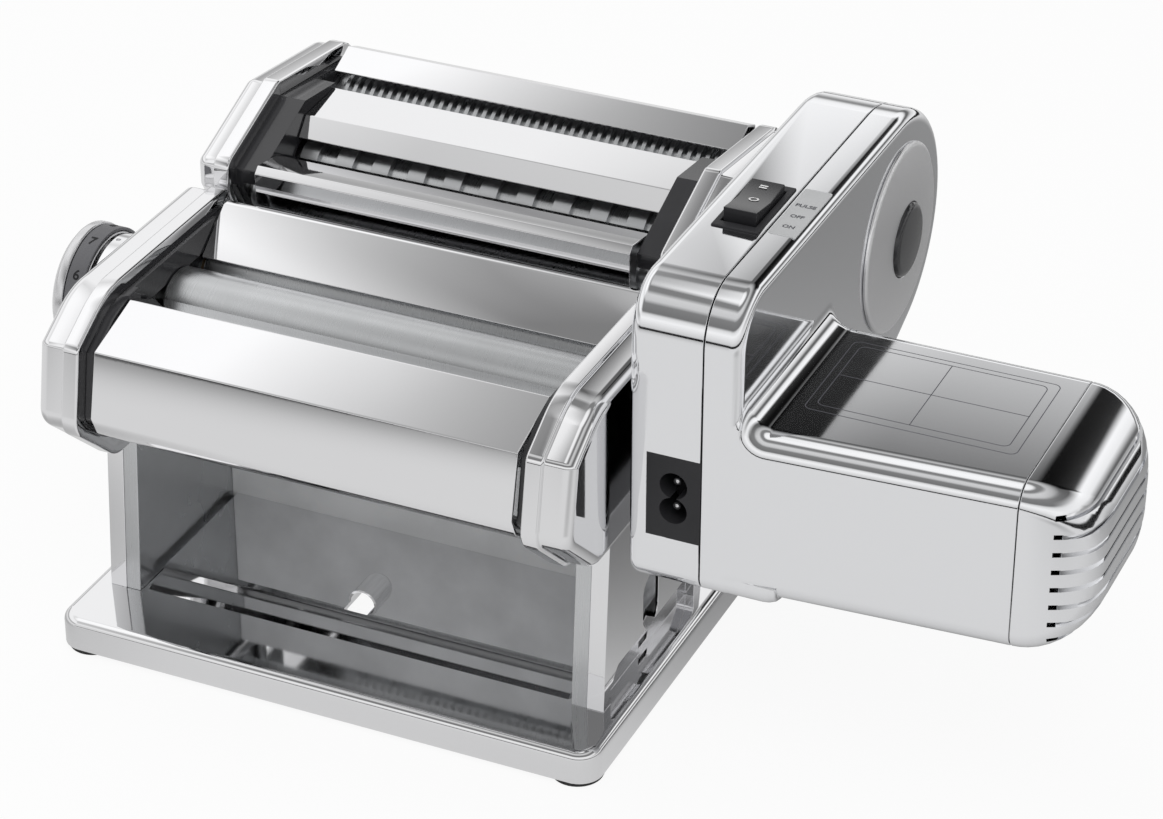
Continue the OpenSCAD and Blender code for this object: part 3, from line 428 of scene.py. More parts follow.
def finish(made, node, finish_name=None, edge=0.3, angle=30, replaces=True, smooth=True):
    """Gives a piece its edges, finish, body and slot, in the place of its node"""
    if smooth:
        soften(made, edge, angle)
    made.data.materials.clear()
    made.data.materials.append(FINISHES[finish_name or SLOT_OF[node]])
    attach(made, BODY_OF[node])
    if replaces:
        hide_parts(node)
    return made


def redraw(node, finish_name=None, edge=0.3, angle=25, segments=2):
    """A copy of a node with merged faces and rounded edges, in its place"""
    bm = bmesh.new()
    bm.from_mesh(NODES[node].data)
    bmesh.ops.remove_doubles(bm, verts=bm.verts, dist=WELD)
    bmesh.ops.dissolve_limit(bm, angle_limit=radians(1), verts=bm.verts, edges=bm.edges)
    made = solid(node + "_dressed", bm)
    soften(made, edge, angle, segments)
    return finish(made, node, finish_name, smooth=False)


def low(node):
    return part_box(node)[0] / MM


def high(node):
    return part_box(node)[1] / MM


INK_DEPTH = 0.00003  # metres that printed words stand out
INK_SPREAD = 0.018  # widening of the strokes as a share of the size
LINE_SUNK, LINE_RAISED = 0.1, 0.04


def add_text(words, size, place, name):
    """Words as a thin mesh; place turns and sets them"""
    curve = bpy.data.curves.new(name, "FONT")
    curve.body, curve.size = words, size * MM
    curve.align_x = curve.align_y = "CENTER"
    curve.extrude = INK_DEPTH
    curve.offset = INK_SPREAD * size * MM
    made = bpy.data.objects.new(name, curve)
    bpy.context.scene.collection.objects.link(made)
    graph = bpy.context.evaluated_depsgraph_get()
    data = bpy.data.meshes.new_from_object(made.evaluated_get(graph))
    bpy.data.objects.remove(made)
    data.transform(place)
    out = bmesh.new()
    out.from_mesh(data)
    bpy.data.meshes.remove(data)
    return out


# ---- shapes shared by the pieces, in millimetres ------------------------------------------------

HEAD = [(-61, 71), (26.8, 71), (26.8, 109.5), (17, 126.5), (17, 130), (-59.3, 130),
        (-78.6, 118.5), (-83.5, 91.3)]
HEAD_RADII = [10, 6, 3, 3, 3, 30, 4, 9]
HEAD_COVER = {"x0": 75.2, "step_x": 80.7, "bevel_x": 86.5, "x1": 90.5, "bevel": 4, "lip": 5}
CUTTER = [(27.4, 104), (108, 104), (108, 145), (53.5, 151.5), (17.6, 137.5), (17.6, 126.5), (27.4, 109.5)]
CUTTER_RADII = [3, 8, 11, 5, 5, 3, 3]
CUTTER_COVER = {"x0": 75.6, "step_x": 81.3, "bevel_x": 85, "x1": 88, "bevel": 3, "lip": 5}
ROLLER_Z = 104.5
DRIVE_Y = 7.3
KNOB_Y = -20.0
COLLAR_HOLE_R, SHAFT_HOLE_R, SOCKET_HOLE_R = 12.3, 4, 6
DIAL_DIGITS, DIAL_TURN, DIGIT_AT_TURN = 10, 15, 7
DIGIT_INSET = 3.2
DISC_R, WIDE_PITCH, NARROW_PITCH = 10, 13, 3.2
CORE_R, CORE_HALF, GEAR_FROM = 8.4, 73, 73.2
CUTTER_AXES = {"wide_front_roller": (35.4, 123), "wide_rear_roller": (54.2, 123),
               "narrow_front_roller": (73.8, 129), "narrow_rear_roller": (92.6, 129)}


def shell(points, radii, stations, side=1, steps=12):
    """A closed skin through the outline inset at each (x, inset) station; both ends are flat"""
    rings = [[on_x(side * x)(p) for p in rounded(inset(points, d), shrunk(radii, d), steps)]
             for x, d in stations]
    return loft(rings)


def roll_over(face_x, side_x, depth, steps=6, start=0):
    """Quarter round from a flat face to a side, as (x, inset) stations"""
    turns = [radians(90 * i / steps) for i in range(steps + 1)]
    return [(face_x + (side_x - face_x) * (1 - cos(a)), start + depth * (1 - sin(a))) for a in turns]


def cover_stations(x0, step_x, bevel_x, x1, bevel, lip, step=1.5, sheet=1.2):
    """Outside and inside of a pressed cover: flat face, rolled edge, step and inturned lip"""
    roll = roll_over(x1, bevel_x, bevel, start=step)
    outside = roll + [(step_x + 0.5, step), (step_x + 0.1, step * 0.6), (step_x - 0.2, 0.1),
                      (step_x - 0.6, 0), (x0 + 0.8, 0), (x0 + 0.25, 0.2), (x0, 0.8), (x0, lip)]
    inside = [(x0 + sheet, lip), (x0 + sheet, sheet), (step_x - sheet, sheet),
              (step_x - sheet, step + sheet)]
    inside += [(x - sheet * 0.8, d + sheet) for x, d in reversed(roll)]
    return outside + inside


CASE = [(-48, 64), (52, 64), (127.5, 95.27), (127.5, 164.5), (-48, 164.5)]
CASE_RADII = [6, 24, 41.45, 41.45, 17]
CASE_IN, SEAM_X, CASE_OUT = 94, 118, 129.6
CASE_EDGE = 4
WALL = 2.5
SEAM_GAP, SEAM_SUNK = 0.2, 0.45
COLLAR_R = 11.8
COVE_R = 8
CAP_SHOULDER = 17
VENT_HALF, VENT_FROM, LINER_FROM = 0.8, 10.5, 12.6
WIDEST_CORNER = 0.45  # share of the arm's height
SWITCH_X = 109
PIN_R, PIN_RISE, PIN_TIP_Y, PIN_ROOT_Y, PIN_SIDES = 1.25, 4.3, -44, -36, 24
ARM_END, CAP_END = 213.6, 236.1
ARM_BACK, ARM_BOTTOM, ARM_TOP = 29.5, 66.3, 122.3
ARM_FRONT, ARM_DRAFT = -48, 5


def arm_ring(x, inward=0, rise=0, radii=(7, 6, 6, 8), grow=0):
    """The arm's section at x, moved inwards or with its top raised"""
    front = ARM_FRONT + ARM_DRAFT * max(0, min(1, (x - CASE_OUT) / (ARM_END - CASE_OUT))) + inward
    back, low_z, high_z = ARM_BACK - inward, ARM_BOTTOM + inward, ARM_TOP - inward + rise
    widest = WIDEST_CORNER * (high_z - low_z)
    corners = [max(min(r + grow * inward, widest), 0.6) for r in radii]
    section = [(front, low_z), (back, low_z), (back, high_z), (front, high_z)]
    return [on_x(x)(p) for p in rounded(section, corners, 12)]


def ring_of(y, z, radius, count=48):
    turns = [2 * pi * i / count for i in range(count)]
    return [(y + radius * cos(a), z + radius * sin(a)) for a in turns]


def frame_line(outline, width, z):
    """A thin closed line on a level face"""
    inner = inset(outline, width)
    sunk, raised = z - LINE_SUNK, z + LINE_RAISED
    rings = ((outline, sunk), (outline, raised), (inner, raised), (inner, sunk), (outline, sunk))
    return loft([[Vector((p[0], p[1], h)) * MM for p in ring] for ring, h in rings],
                close_ends=False)


def sided(made_for):
    """Calls made_for for the left and right sides"""
    for side, word in ((-1, "left"), (1, "right")):
        made_for(side, word)


# ---- what repeats -------------------------------------------------------------------------------

def disc_tree():
    """Geometry Nodes: a row of discs along X"""
    tree = bpy.data.node_groups.new("disc_row", "GeometryNodeTree")
    for name, kind, value in (("Count", "NodeSocketInt", 11), ("Pitch", "NodeSocketFloat", 0.013),
                              ("Width", "NodeSocketFloat", 0.006), ("Radius", "NodeSocketFloat", 0.01),
                              ("Start", "NodeSocketVector", (0, 0, 0))):
        tree.interface.new_socket(name, in_out="INPUT", socket_type=kind).default_value = value
    tree.interface.new_socket("Geometry", in_out="OUTPUT", socket_type="NodeSocketGeometry")
    graph = Graph(tree)
    source = tree.nodes.new("NodeGroupInput")
    given = {socket.name: Value(graph, socket) for socket in source.outputs}
    step = graph.add("ShaderNodeCombineXYZ", None, {"X": given["Pitch"]})
    line = graph.add("GeometryNodeMeshLine", {"mode": "OFFSET"},
                     {"Count": given["Count"], "Start Location": given["Start"], "Offset": step})
    disc = graph.add("GeometryNodeMeshCylinder", None,
                     {"Vertices": 64, "Radius": given["Radius"], "Depth": given["Width"]})
    placed = graph.add("GeometryNodeInstanceOnPoints", None,
                       {"Points": line, "Instance": disc, "Rotation": (0, pi / 2, 0)})
    end_tree(graph, placed, "cutter_steel")
    return tree


def end_tree(graph, made, finish_name):
    """Turns instances into one mesh, sets its finish and ends the tree"""
    mesh = graph.add("GeometryNodeRealizeInstances", None, {"Geometry": made})
    painted = graph.add("GeometryNodeSetMaterial", None,
                        {"Geometry": mesh, "Material": FINISHES[finish_name]})
    graph.add("NodeGroupOutput", None, {"Geometry": painted})


def grown(name, tree, inputs):
    """The plain mesh that a tree makes from the given inputs"""
    made = solid(name, bmesh.new())
    step = made.modifiers.new("grow", "NODES")
    step.node_group = tree
    for item in tree.interface.items_tree:
        if item.in_out == "INPUT" and item.name in inputs:
            step[item.identifier] = inputs[item.name]
    apply_modifiers(made)
    return made


# ---- the stage ----------------------------------------------------------------------------------

CAMERA_PLACE = Matrix(((0.91135898, -0.21119089, 0.35330329, 0.46328),
                       (0.41160851, 0.46384282, -0.78449237, -0.90038),
                       (0.00180045, 0.8603768, 0.50965529, 0.67280),
                       (0, 0, 0, 1)))
SENSOR_WIDTH = 36
PLAIN_LIGHT = 0.55
LAMP_AIM = Vector((0.05, 0.02, 0.09))
PAPER_TONE, PAPER_SEEN, PAPER_MIRRORED = 0.8, 0.92, 0.7
DOME_RADIUS = 0.95
DOME_STRENGTH = 1.25
DOME_RINGS, DOME_SIDES = 24, 96
# Tones that polished metal mirrors, as (elevation in degrees, tone)
LEFT_TONES = ((0, 0.3), (5, 0.8), (14, 0.5), (19, 0.35), (26, 0.85), (40, 0.85), (47, 0.7),
              (55, 0.95), (61, 0.98), (66, 0.55), (71, 0.32), (78, 0.45), (90, 0.9))
FRONT_TONES = ((0, 0.01), (4, 0.01), (5, 0.55), (22, 0.85), (29, 0.66), (33, 0.16), (47, 0.2),
               (53, 0.55), (62, 0.6), (68, 0.2), (74, 0.2), (79, 0.85), (90, 0.9))
BACK_TONES = ((0, 0.01), (4, 0.01), (5, 0.85), (12, 0.6), (17, 0.12), (20, 0.12), (24, 0.8),
              (32, 0.95), (37, 0.45), (41, 0.1), (50, 0.12), (57, 0.4), (62, 0.5), (66, 0.2),
              (73, 0.2), (78, 0.8), (90, 0.9))
# Painted shade on the floor, seen only in polished metal's reflections: darker patches, the small ones near
# the base standing in for its contact shadow: x, y, radius, depth
MIRRORED_FLOOR_SHADE = ((0.28, 0.32, 0.52, 0.74), (0.16, 0.06, 0.14, 0.4), (-0.42, -0.82, 0.55, 0.5),
               (-0.17, -0.08, 0.13, 0.5), (0.42, -0.3, 0.25, 0.4))


def toward(graph, way, azimuth):
    """Cosine between a level direction and an azimuth"""
    turn = radians(azimuth)
    return graph.add("ShaderNodeVectorMath", {"operation": "DOT_PRODUCT"},
                     {0: way, 1: (cos(turn), sin(turn), 0)}, "Value")


def spot(graph, place, x, y, radius):
    """A soft spot on the floor, 1 in its middle"""
    away = graph.add("ShaderNodeVectorMath", {"operation": "DISTANCE"},
                     {0: place, 1: (x, y, 0)}, "Value")
    near = (1 - away * (1 / radius)).clamp(0, 1)
    return near * near * (3 - 2 * near)


class PASTA_OT_studio(bpy.types.Operator):
    """Sets up the camera, the pale floor and the plain soft light"""
    bl_idname = "pasta.studio"
    bl_label = "Studio"

    def execute(self, context):
        scene, studio = context.scene, context.scene.pasta_studio
        data = bpy.data.cameras.new("camera")
        data.lens, data.sensor_width = studio.lens, SENSOR_WIDTH
        camera = bpy.data.objects.new("camera", data)
        camera.matrix_world = CAMERA_PLACE
        scene.collection.objects.link(camera)
        scene.camera = camera
        scene.view_settings.view_transform = "Standard"
        self.make_world(scene, studio.light)
        self.make_floor(studio.floor)
        self.make_cards()
        return {"FINISHED"}

    def make_world(self, scene, light):
        world = bpy.data.worlds.new("studio")
        world.use_nodes = True
        graph = Graph(world.node_tree)
        path = graph.tree.nodes.new("ShaderNodeLightPath")
        seen = (Value(graph, path.outputs["Is Camera Ray"]) + Value(graph, path.outputs["Is Glossy Ray"])
                + Value(graph, path.outputs["Is Transmission Ray"])).clamp(0, 1)
        strength = seen * (1 - PLAIN_LIGHT * light) + PLAIN_LIGHT * light
        glow = graph.add("ShaderNodeBackground", None, {"Color": grey(1), "Strength": strength})
        graph.add("ShaderNodeOutputWorld", None, {"Surface": glow})
        scene.world = world
        lamps = (("key", (0.5, -0.8, 1.5), 0.9, 9), ("top", (-0.5, 0.1, 1.6), 1.1, 6))
        for name, place, size, power in lamps:
            data = bpy.data.lights.new(name, "AREA")
            data.size, data.energy = size, power * light
            lamp = bpy.data.objects.new(name, data)
            lamp.visible_glossy = False
            lamp.location = place
            way = LAMP_AIM - Vector(place)
            lamp.rotation_euler = way.to_track_quat("-Z", "Y").to_euler()
            scene.collection.objects.link(lamp)

    def make_floor(self, half):
        def shade(graph, place):
            path = graph.tree.nodes.new("ShaderNodeLightPath")
            camera, glossy, through = (Value(graph, path.outputs[name]) for name in
                                       ("Is Camera Ray", "Is Glossy Ray", "Is Transmission Ray"))
            paper = graph.add("ShaderNodeBsdfPrincipled", None,
                              {"Base Color": grey(PAPER_TONE), "Roughness": 0.6})
            # Painted shade: the floor as polished metal mirrors it is darkened at each listed patch
            tone = PAPER_TONE
            for x, y, radius, depth in MIRRORED_FLOOR_SHADE:
                tone = tone - spot(graph, place, x, y, radius) * depth
            glow = graph.add("ShaderNodeEmission", None,
                             {"Color": grey(1), "Strength": 1 - glossy * (1 - tone)})
            seen = camera * PAPER_SEEN + glossy * PAPER_MIRRORED + through * PAPER_SEEN
            seen = seen.clamp(0, PAPER_SEEN)
            return graph.add("ShaderNodeMixShader", None, {0: seen, 1: paper, 2: glow})
        bm = bmesh.new()
        corners = ((-1, -1), (1, -1), (1, 1), (-1, 1))
        bm.faces.new([bm.verts.new((x * half, y * half, 0)) for x, y in corners])
        floor = solid("floor", bm)
        floor.data.materials.append(material("floor_paper", shade))

    def make_cards(self):
        """A dome of soft boxes and flags that only polished metal sees"""
        def shade(graph, place):
            flat = graph.add("ShaderNodeVectorMath", {"operation": "MULTIPLY"}, {0: place, 1: (1, 1, 0)})
            way = graph.add("ShaderNodeVectorMath", {"operation": "NORMALIZE"}, {0: flat})
            height = graph.add("ShaderNodeSeparateXYZ", None, {"Vector": place}, 2) * (1 / DOME_RADIUS)
            left, front, back = (
                graph.add("ShaderNodeValToRGB", {"stops": [(sin(radians(a)), tone) for a, tone in tones]},
                          {"Fac": height}) for tones in (LEFT_TONES, FRONT_TONES, BACK_TONES))
            open_left = toward(graph, way, 168) - height.clamp(0.55, 1) * 1.1 + 0.38
            tone = graph.add("ShaderNodeMix", {"data_type": "RGBA"},
                             {0: (toward(graph, way, 80) + 0.3).clamp(0, 1), 6: front, 7: back}, 2)
            tone = graph.add("ShaderNodeMix", {"data_type": "RGBA"},
                             {0: (open_left * 3.3).clamp(0, 1), 6: tone, 7: left}, 2)
            flag = ((toward(graph, way, 62) - 0.93) * 30).clamp(0, 1)
            flag = flag * ((height - 0.5) * 20).clamp(0, 1) * ((0.77 - height) * 20).clamp(0, 1)
            return graph.add("ShaderNodeEmission", None,
                             {"Color": tone, "Strength": DOME_STRENGTH - flag * 1.2})
        turns = [2 * pi * k / DOME_SIDES for k in range(DOME_SIDES)]
        rings = []
        for i in range(DOME_RINGS + 1):
            a = radians(89.9 * i / DOME_RINGS)
            rings.append([Vector((cos(a) * cos(t), cos(a) * sin(t), sin(a))) * DOME_RADIUS
                          for t in turns])
        dome = solid("card_dome", loft(rings, close_ends=False))
        self.hide_from_camera(dome, material("card_dome", shade))

    def hide_from_camera(self, card, paint):
        card.data.materials.append(paint)
        card.visible_camera = card.visible_diffuse = card.visible_shadow = False
        card.visible_transmission = False


# ---- the machine --------------------------------------------------------------------------------

class PASTA_OT_base(bpy.types.Operator):
    """Builds the pressed base with its stepped floor, and the feet"""
    bl_idname = "pasta.base"
    bl_label = "Base and feet"

    def execute(self, context):
        redraw("base_plate", edge=0.5)
        redraw("rubber_feet", edge=0.8)
        return {"FINISHED"}


class PASTA_OT_stand(bpy.types.Operator):
    """Builds the side frames, the outer leg panels, the back wall and the rods"""
    bl_idname = "pasta.stand"
    bl_label = "Stand"

    def execute(self, context):
        for node in ("left_frame", "right_frame", "left_side_panel", "right_side_panel"):
            redraw(node, edge=0.4, angle=20)
        redraw("back_panel", "matt_steel", edge=0.4, angle=20)
        redraw("tie_rods", edge=0.2)
        redraw("frame_screws", edge=0.2)
        return {"FINISHED"}


class PASTA_OT_head(bpy.types.Operator):
    """Builds the pressed side covers of the head"""
    bl_idname = "pasta.head"
    bl_label = "Head covers"

    def execute(self, context):
        sided(self.make_cover)
        redraw("index_collar", edge=0.5)
        redraw("drive_flange", edge=0.3)
        return {"FINISHED"}

    def make_cover(self, side, word):
        stations = cover_stations(**HEAD_COVER)
        made = solid(word + "_head_cover", shell(HEAD, HEAD_RADII, stations, side))
        outer = max(side * 76, side * 82)
        leg = box_mesh((min(side * 74, side * 83), -52, 60), (outer, 28, 79))
        ear = box_mesh((min(side * 76.7, side * 79.3), 10, 87.7),
                       (max(side * 76.7, side * 79.3), 41, 112))
        y, radius = (DRIVE_Y, COLLAR_HOLE_R) if side > 0 else (KNOB_Y, SHAFT_HOLE_R)
        hole = slab(ring_of(y, ROLLER_Z, radius), side * 85, side * 95)
        bmesh.ops.recalc_face_normals(hole, faces=hole.faces)
        cut(made, leg, ear, hole)
        finish(made, word + "_cover", edge=0)


class PASTA_OT_feed(bpy.types.Operator):
    """Builds the front cover, the hopper plate and the black guards beside the rollers"""
    bl_idname = "pasta.feed"
    bl_label = "Front cover and hopper"

    def execute(self, context):
        redraw("front_cover", edge=0.35, angle=40)
        redraw("hopper_plate", edge=0.3, angle=40)
        redraw("left_guard", "dark_gloss", edge=0.3)
        redraw("right_guard", "dark_gloss", edge=0.3)
        return {"FINISHED"}


class PASTA_OT_rollers(bpy.types.Operator):
    """Builds the sheet rollers with their gears, scrapers and bearings"""
    bl_idname = "pasta.rollers"
    bl_label = "Sheet rollers"

    def execute(self, context):
        for node in ("front_roller", "rear_roller", "front_gear", "rear_gear", "rear_scraper",
                     "front_scraper", "left_block", "right_block", "roller_bushes",
                     "regulator_shaft", "left_cam", "right_cam"):
            redraw(node, edge=0.25)
        return {"FINISHED"}


class PASTA_OT_knob(bpy.types.Operator):
    """Builds the thickness knob with its numbered dial"""
    bl_idname = "pasta.knob"
    bl_label = "Thickness knob"

    def execute(self, context):
        redraw("knob", edge=0.6)
        redraw("knob_dial", "dial_grey", edge=0.4)
        digit = context.scene.pasta_sizes.digit
        x = low("knob_dial")[0] + DIGIT_INSET
        radius = (high("knob_dial")[2] - low("knob_dial")[2]) / 2 + 0.02
        words = []
        for i in range(DIAL_DIGITS):
            angle = DIAL_TURN + 360 / DIAL_DIGITS * (DIGIT_AT_TURN - i)
            turn = Matrix.Rotation(radians(angle), 4, "X")
            place = (Matrix.Translation(Vector((0, KNOB_Y, ROLLER_Z)) * MM) @ turn
                     @ Matrix.Translation(Vector((x, 0, radius)) * MM))
            words.append(add_text(str(i), digit, place, "digit"))
        numbers = solid("dial_numbers", join(*words))
        finish(numbers, "knob_dial", "print_black", replaces=False, smooth=False)
        return {"FINISHED"}


class PASTA_OT_cutter_case(bpy.types.Operator):
    """Builds the covers, plates, guards and combs of the cutter head"""
    bl_idname = "pasta.cutter_case"
    bl_label = "Cutter case"

    def execute(self, context):
        sided(self.make_cover)
        for node in ("cutter_front_plate", "cutter_middle_plate", "cutter_rear_plate"):
            redraw(node, edge=0.25, angle=40)
        for node in ("cutter_left_guard", "cutter_right_guard"):
            redraw(node, "dark_gloss", edge=0.2)
        for node in ("cutter_combs", "cutter_left_end", "cutter_right_end"):
            redraw(node, edge=0.2)
        return {"FINISHED"}

    def make_cover(self, side, word):
        stations = cover_stations(**CUTTER_COVER)
        made = solid(word + "_cutter_cover", shell(CUTTER, CUTTER_RADII, stations, side))
        ear = box_mesh((min(side * 74, side * 79.3), 16, 103),
                       (max(side * 74, side * 79.3), 41.3, 111.6))
        cut(made, ear)
        if side > 0:
            for node in ("wide_rear_roller", "narrow_front_roller"):
                cut(made, slab(ring_of(*CUTTER_AXES[node], SOCKET_HOLE_R), 82, 95))
        finish(made, "cutter_" + word + "_cover", edge=0)


class PASTA_OT_cutters(bpy.types.Operator):
    """Builds the cutting rollers, their discs set out by Geometry Nodes"""
    bl_idname = "pasta.cutters"
    bl_label = "Cutting rollers"

    def execute(self, context):
        sizes = context.scene.pasta_sizes
        tree = disc_tree()
        rows = (("wide_front_roller", sizes.wide_discs, WIDE_PITCH, 0),
                ("wide_rear_roller", sizes.wide_discs, WIDE_PITCH, 1),
                ("narrow_front_roller", sizes.narrow_discs, NARROW_PITCH, 0),
                ("narrow_rear_roller", sizes.narrow_discs, NARROW_PITCH, 1))
        for node, count, pitch, shift in rows:
            y, z = CUTTER_AXES[node]
            width = pitch / 2 - 0.15
            start = -count * pitch / 2 + shift * pitch / 2 + 0.05 + width / 2
            discs = grown(node + "_discs", tree,
                          {"Count": count, "Pitch": pitch * MM, "Width": width * MM,
                           "Radius": DISC_R * MM, "Start": Vector((start, y, z)) * MM})
            finish(discs, node, "cutter_steel", edge=0.12, angle=40)
            self.make_core(node, y, z)
        return {"FINISHED"}

    def make_core(self, node, y, z):
        """Core with journals, and the gear cut from the node's own end"""
        bm = bmesh.new()
        bm.from_mesh(NODES[node].data)
        bmesh.ops.remove_doubles(bm, verts=bm.verts, dist=WELD)
        spare = [v for v in bm.verts if abs(v.co.x) < GEAR_FROM * MM]
        bmesh.ops.delete(bm, geom=spare, context="VERTS")
        profile = [(0, -CORE_HALF), (CORE_R, -CORE_HALF), (CORE_R, CORE_HALF), (0, CORE_HALF)]
        ends = solid(node + "_ends", join(bm, turned(profile, 0, y, z)))
        finish(ends, node, "satin_steel", edge=0, replaces=False)


class PASTA_OT_motor_case(bpy.types.Operator):
    """Builds the gear case's two halves, the arm on the outer half and the seam between them"""
    bl_idname = "pasta.motor_case"
    bl_label = "Motor case"

    def execute(self, context):
        made = solid("motor_inner_half", self.half(CASE_IN, CASE_IN + CASE_EDGE, SEAM_X - SEAM_GAP))
        inlet, switch = (self.hole(node) for node in ("power_inlet", "switch_frame"))
        shaft_hole = slab(ring_of(DRIVE_Y, ROLLER_Z, COLLAR_R), CASE_IN - 2, CASE_IN + 8)
        cut(made, inlet, switch, shaft_hole)
        finish(made, "motor_inner_shell", edge=0)
        outer = solid("motor_outer_half", self.half(CASE_OUT, CASE_OUT - CASE_EDGE, SEAM_X + SEAM_GAP))
        unite(outer, self.arm(), self.belly())
        finish(outer, "motor_outer_shell", edge=0)
        liner = shell(CASE, CASE_RADII, [(SEAM_X - 0.6, SEAM_SUNK), (SEAM_X + 0.6, SEAM_SUNK)])
        seam = solid("case_seam", liner)
        cut(seam, self.hole("power_inlet"), self.hole("switch_frame"))
        finish(seam, "motor_inner_shell", "black_plastic", edge=0, replaces=False)
        return {"FINISHED"}

    def half(self, face_x, side_x, seam_x):
        way = 1 if seam_x > face_x else -1
        outside = roll_over(face_x, side_x, CASE_EDGE)
        lip = [(seam_x - way * 0.25, 0), (seam_x - way * 0.07, 0.08), (seam_x, 0.3), (seam_x, WALL)]
        floor = [(side_x, WALL), (side_x - way * 0.8, WALL + 3)]
        return shell(CASE, CASE_RADII, outside + lip + floor, steps=16)

    def hole(self, node, margin=0.05):
        low_corner, high_corner = low(node), high(node)
        return box_mesh([c - margin for c in low_corner], [c + margin for c in high_corner])

    def arm(self):
        """The arm with a cove at its root, filled from the seam to its floor and open at its end"""
        cove = [(CASE_OUT + COVE_R * (1 - cos(radians(a))), COVE_R * (1 - sin(radians(a))))
                for a in range(0, 91, 10)]
        rings = [arm_ring(SEAM_X + 1.5, -0.02, 8), arm_ring(CASE_OUT - 0.3, -0.02, 8)]
        rings += [arm_ring(x, -0.02, rise) for x, rise in cove]
        end = ARM_END - 0.15
        rings += [arm_ring(end - 0.25, -0.02), arm_ring(end - 0.07, 0.06), arm_ring(end, 0.25)]
        rings += [arm_ring(end, WALL), arm_ring(CASE_OUT + 4, WALL)]
        return loft(rings)

    def belly(self):
        """Low swelling under the arm's root"""
        rings = []
        for x, drop in ((SEAM_X + 1.2, 0), (CASE_OUT + 8, 0), (CASE_OUT + 10, 0.25), (CASE_OUT + 12, 1.1),
                        (CASE_OUT + 13, 2.2)):
            points = [(ARM_FRONT + 0.2 + drop * 0.4, 64 + drop), (23.5, 64 + drop), (23.5, 72),
                      (ARM_FRONT + 0.2, 72)]
            rings.append([on_x(x)(p) for p in rounded(points, [6, 3, 0.5, 0.5], 10)])
        return loft(rings)


class PASTA_OT_end_cap(bpy.types.Operator):
    """Builds the domed end cap and cuts its vent slots"""
    bl_idname = "pasta.end_cap"
    bl_label = "End cap"

    def execute(self, context):
        start = ARM_END + 0.15
        turns = [radians(a) for a in (6, 12, 20, 28, 36, 44, 52, 60, 68, 76, 84, 90)]
        outside = [(start + (CAP_END - start) * sin(a), CAP_SHOULDER * (1 - cos(a))) for a in turns]
        rings = [arm_ring(x, d, grow=0.35) for x, d in reversed(outside)]
        rings += [arm_ring(start + 0.3), arm_ring(start + 0.07, 0.06), arm_ring(start, 0.25),
                  arm_ring(start, WALL)]
        rings += [arm_ring(x - 2, d + 2, grow=0.35) for x, d in outside[1:]]
        made = solid("end_cap", loft(rings))
        self.cut_vents(made, context.scene.pasta_sizes.vents)
        finish(made, "motor_end_cap", edge=0.35, angle=35)
        under = [(x - 0.5, d + 1) for x, d in outside if x > ARM_END + LINER_FROM]
        deep = [(x - 0.9, d + 0.5) for x, d in under]
        liner = loft([arm_ring(x, d, grow=0.35) for x, d in under[::-1] + deep])
        finish(solid("cap_liner", liner), "motor_end_cap", edge=0, replaces=False)
        return {"FINISHED"}

    def cut_vents(self, made, count):
        first, last = ARM_BOTTOM + 6, ARM_TOP - 8
        for i in range(count):
            z = first + (last - first) * i / (count - 1)
            cut(made, box_mesh((ARM_END + VENT_FROM, -80, z - VENT_HALF),
                               (CAP_END + 5, 80, z + VENT_HALF)))


class PASTA_OT_badge(bpy.types.Operator):
    """Builds the round badge, left bare"""
    bl_idname = "pasta.badge"
    bl_label = "Badge"

    def execute(self, context):
        redraw("motor_badge", "soft_chrome", edge=0.8)
        redraw("badge_boss", edge=1.2)
        return {"FINISHED"}


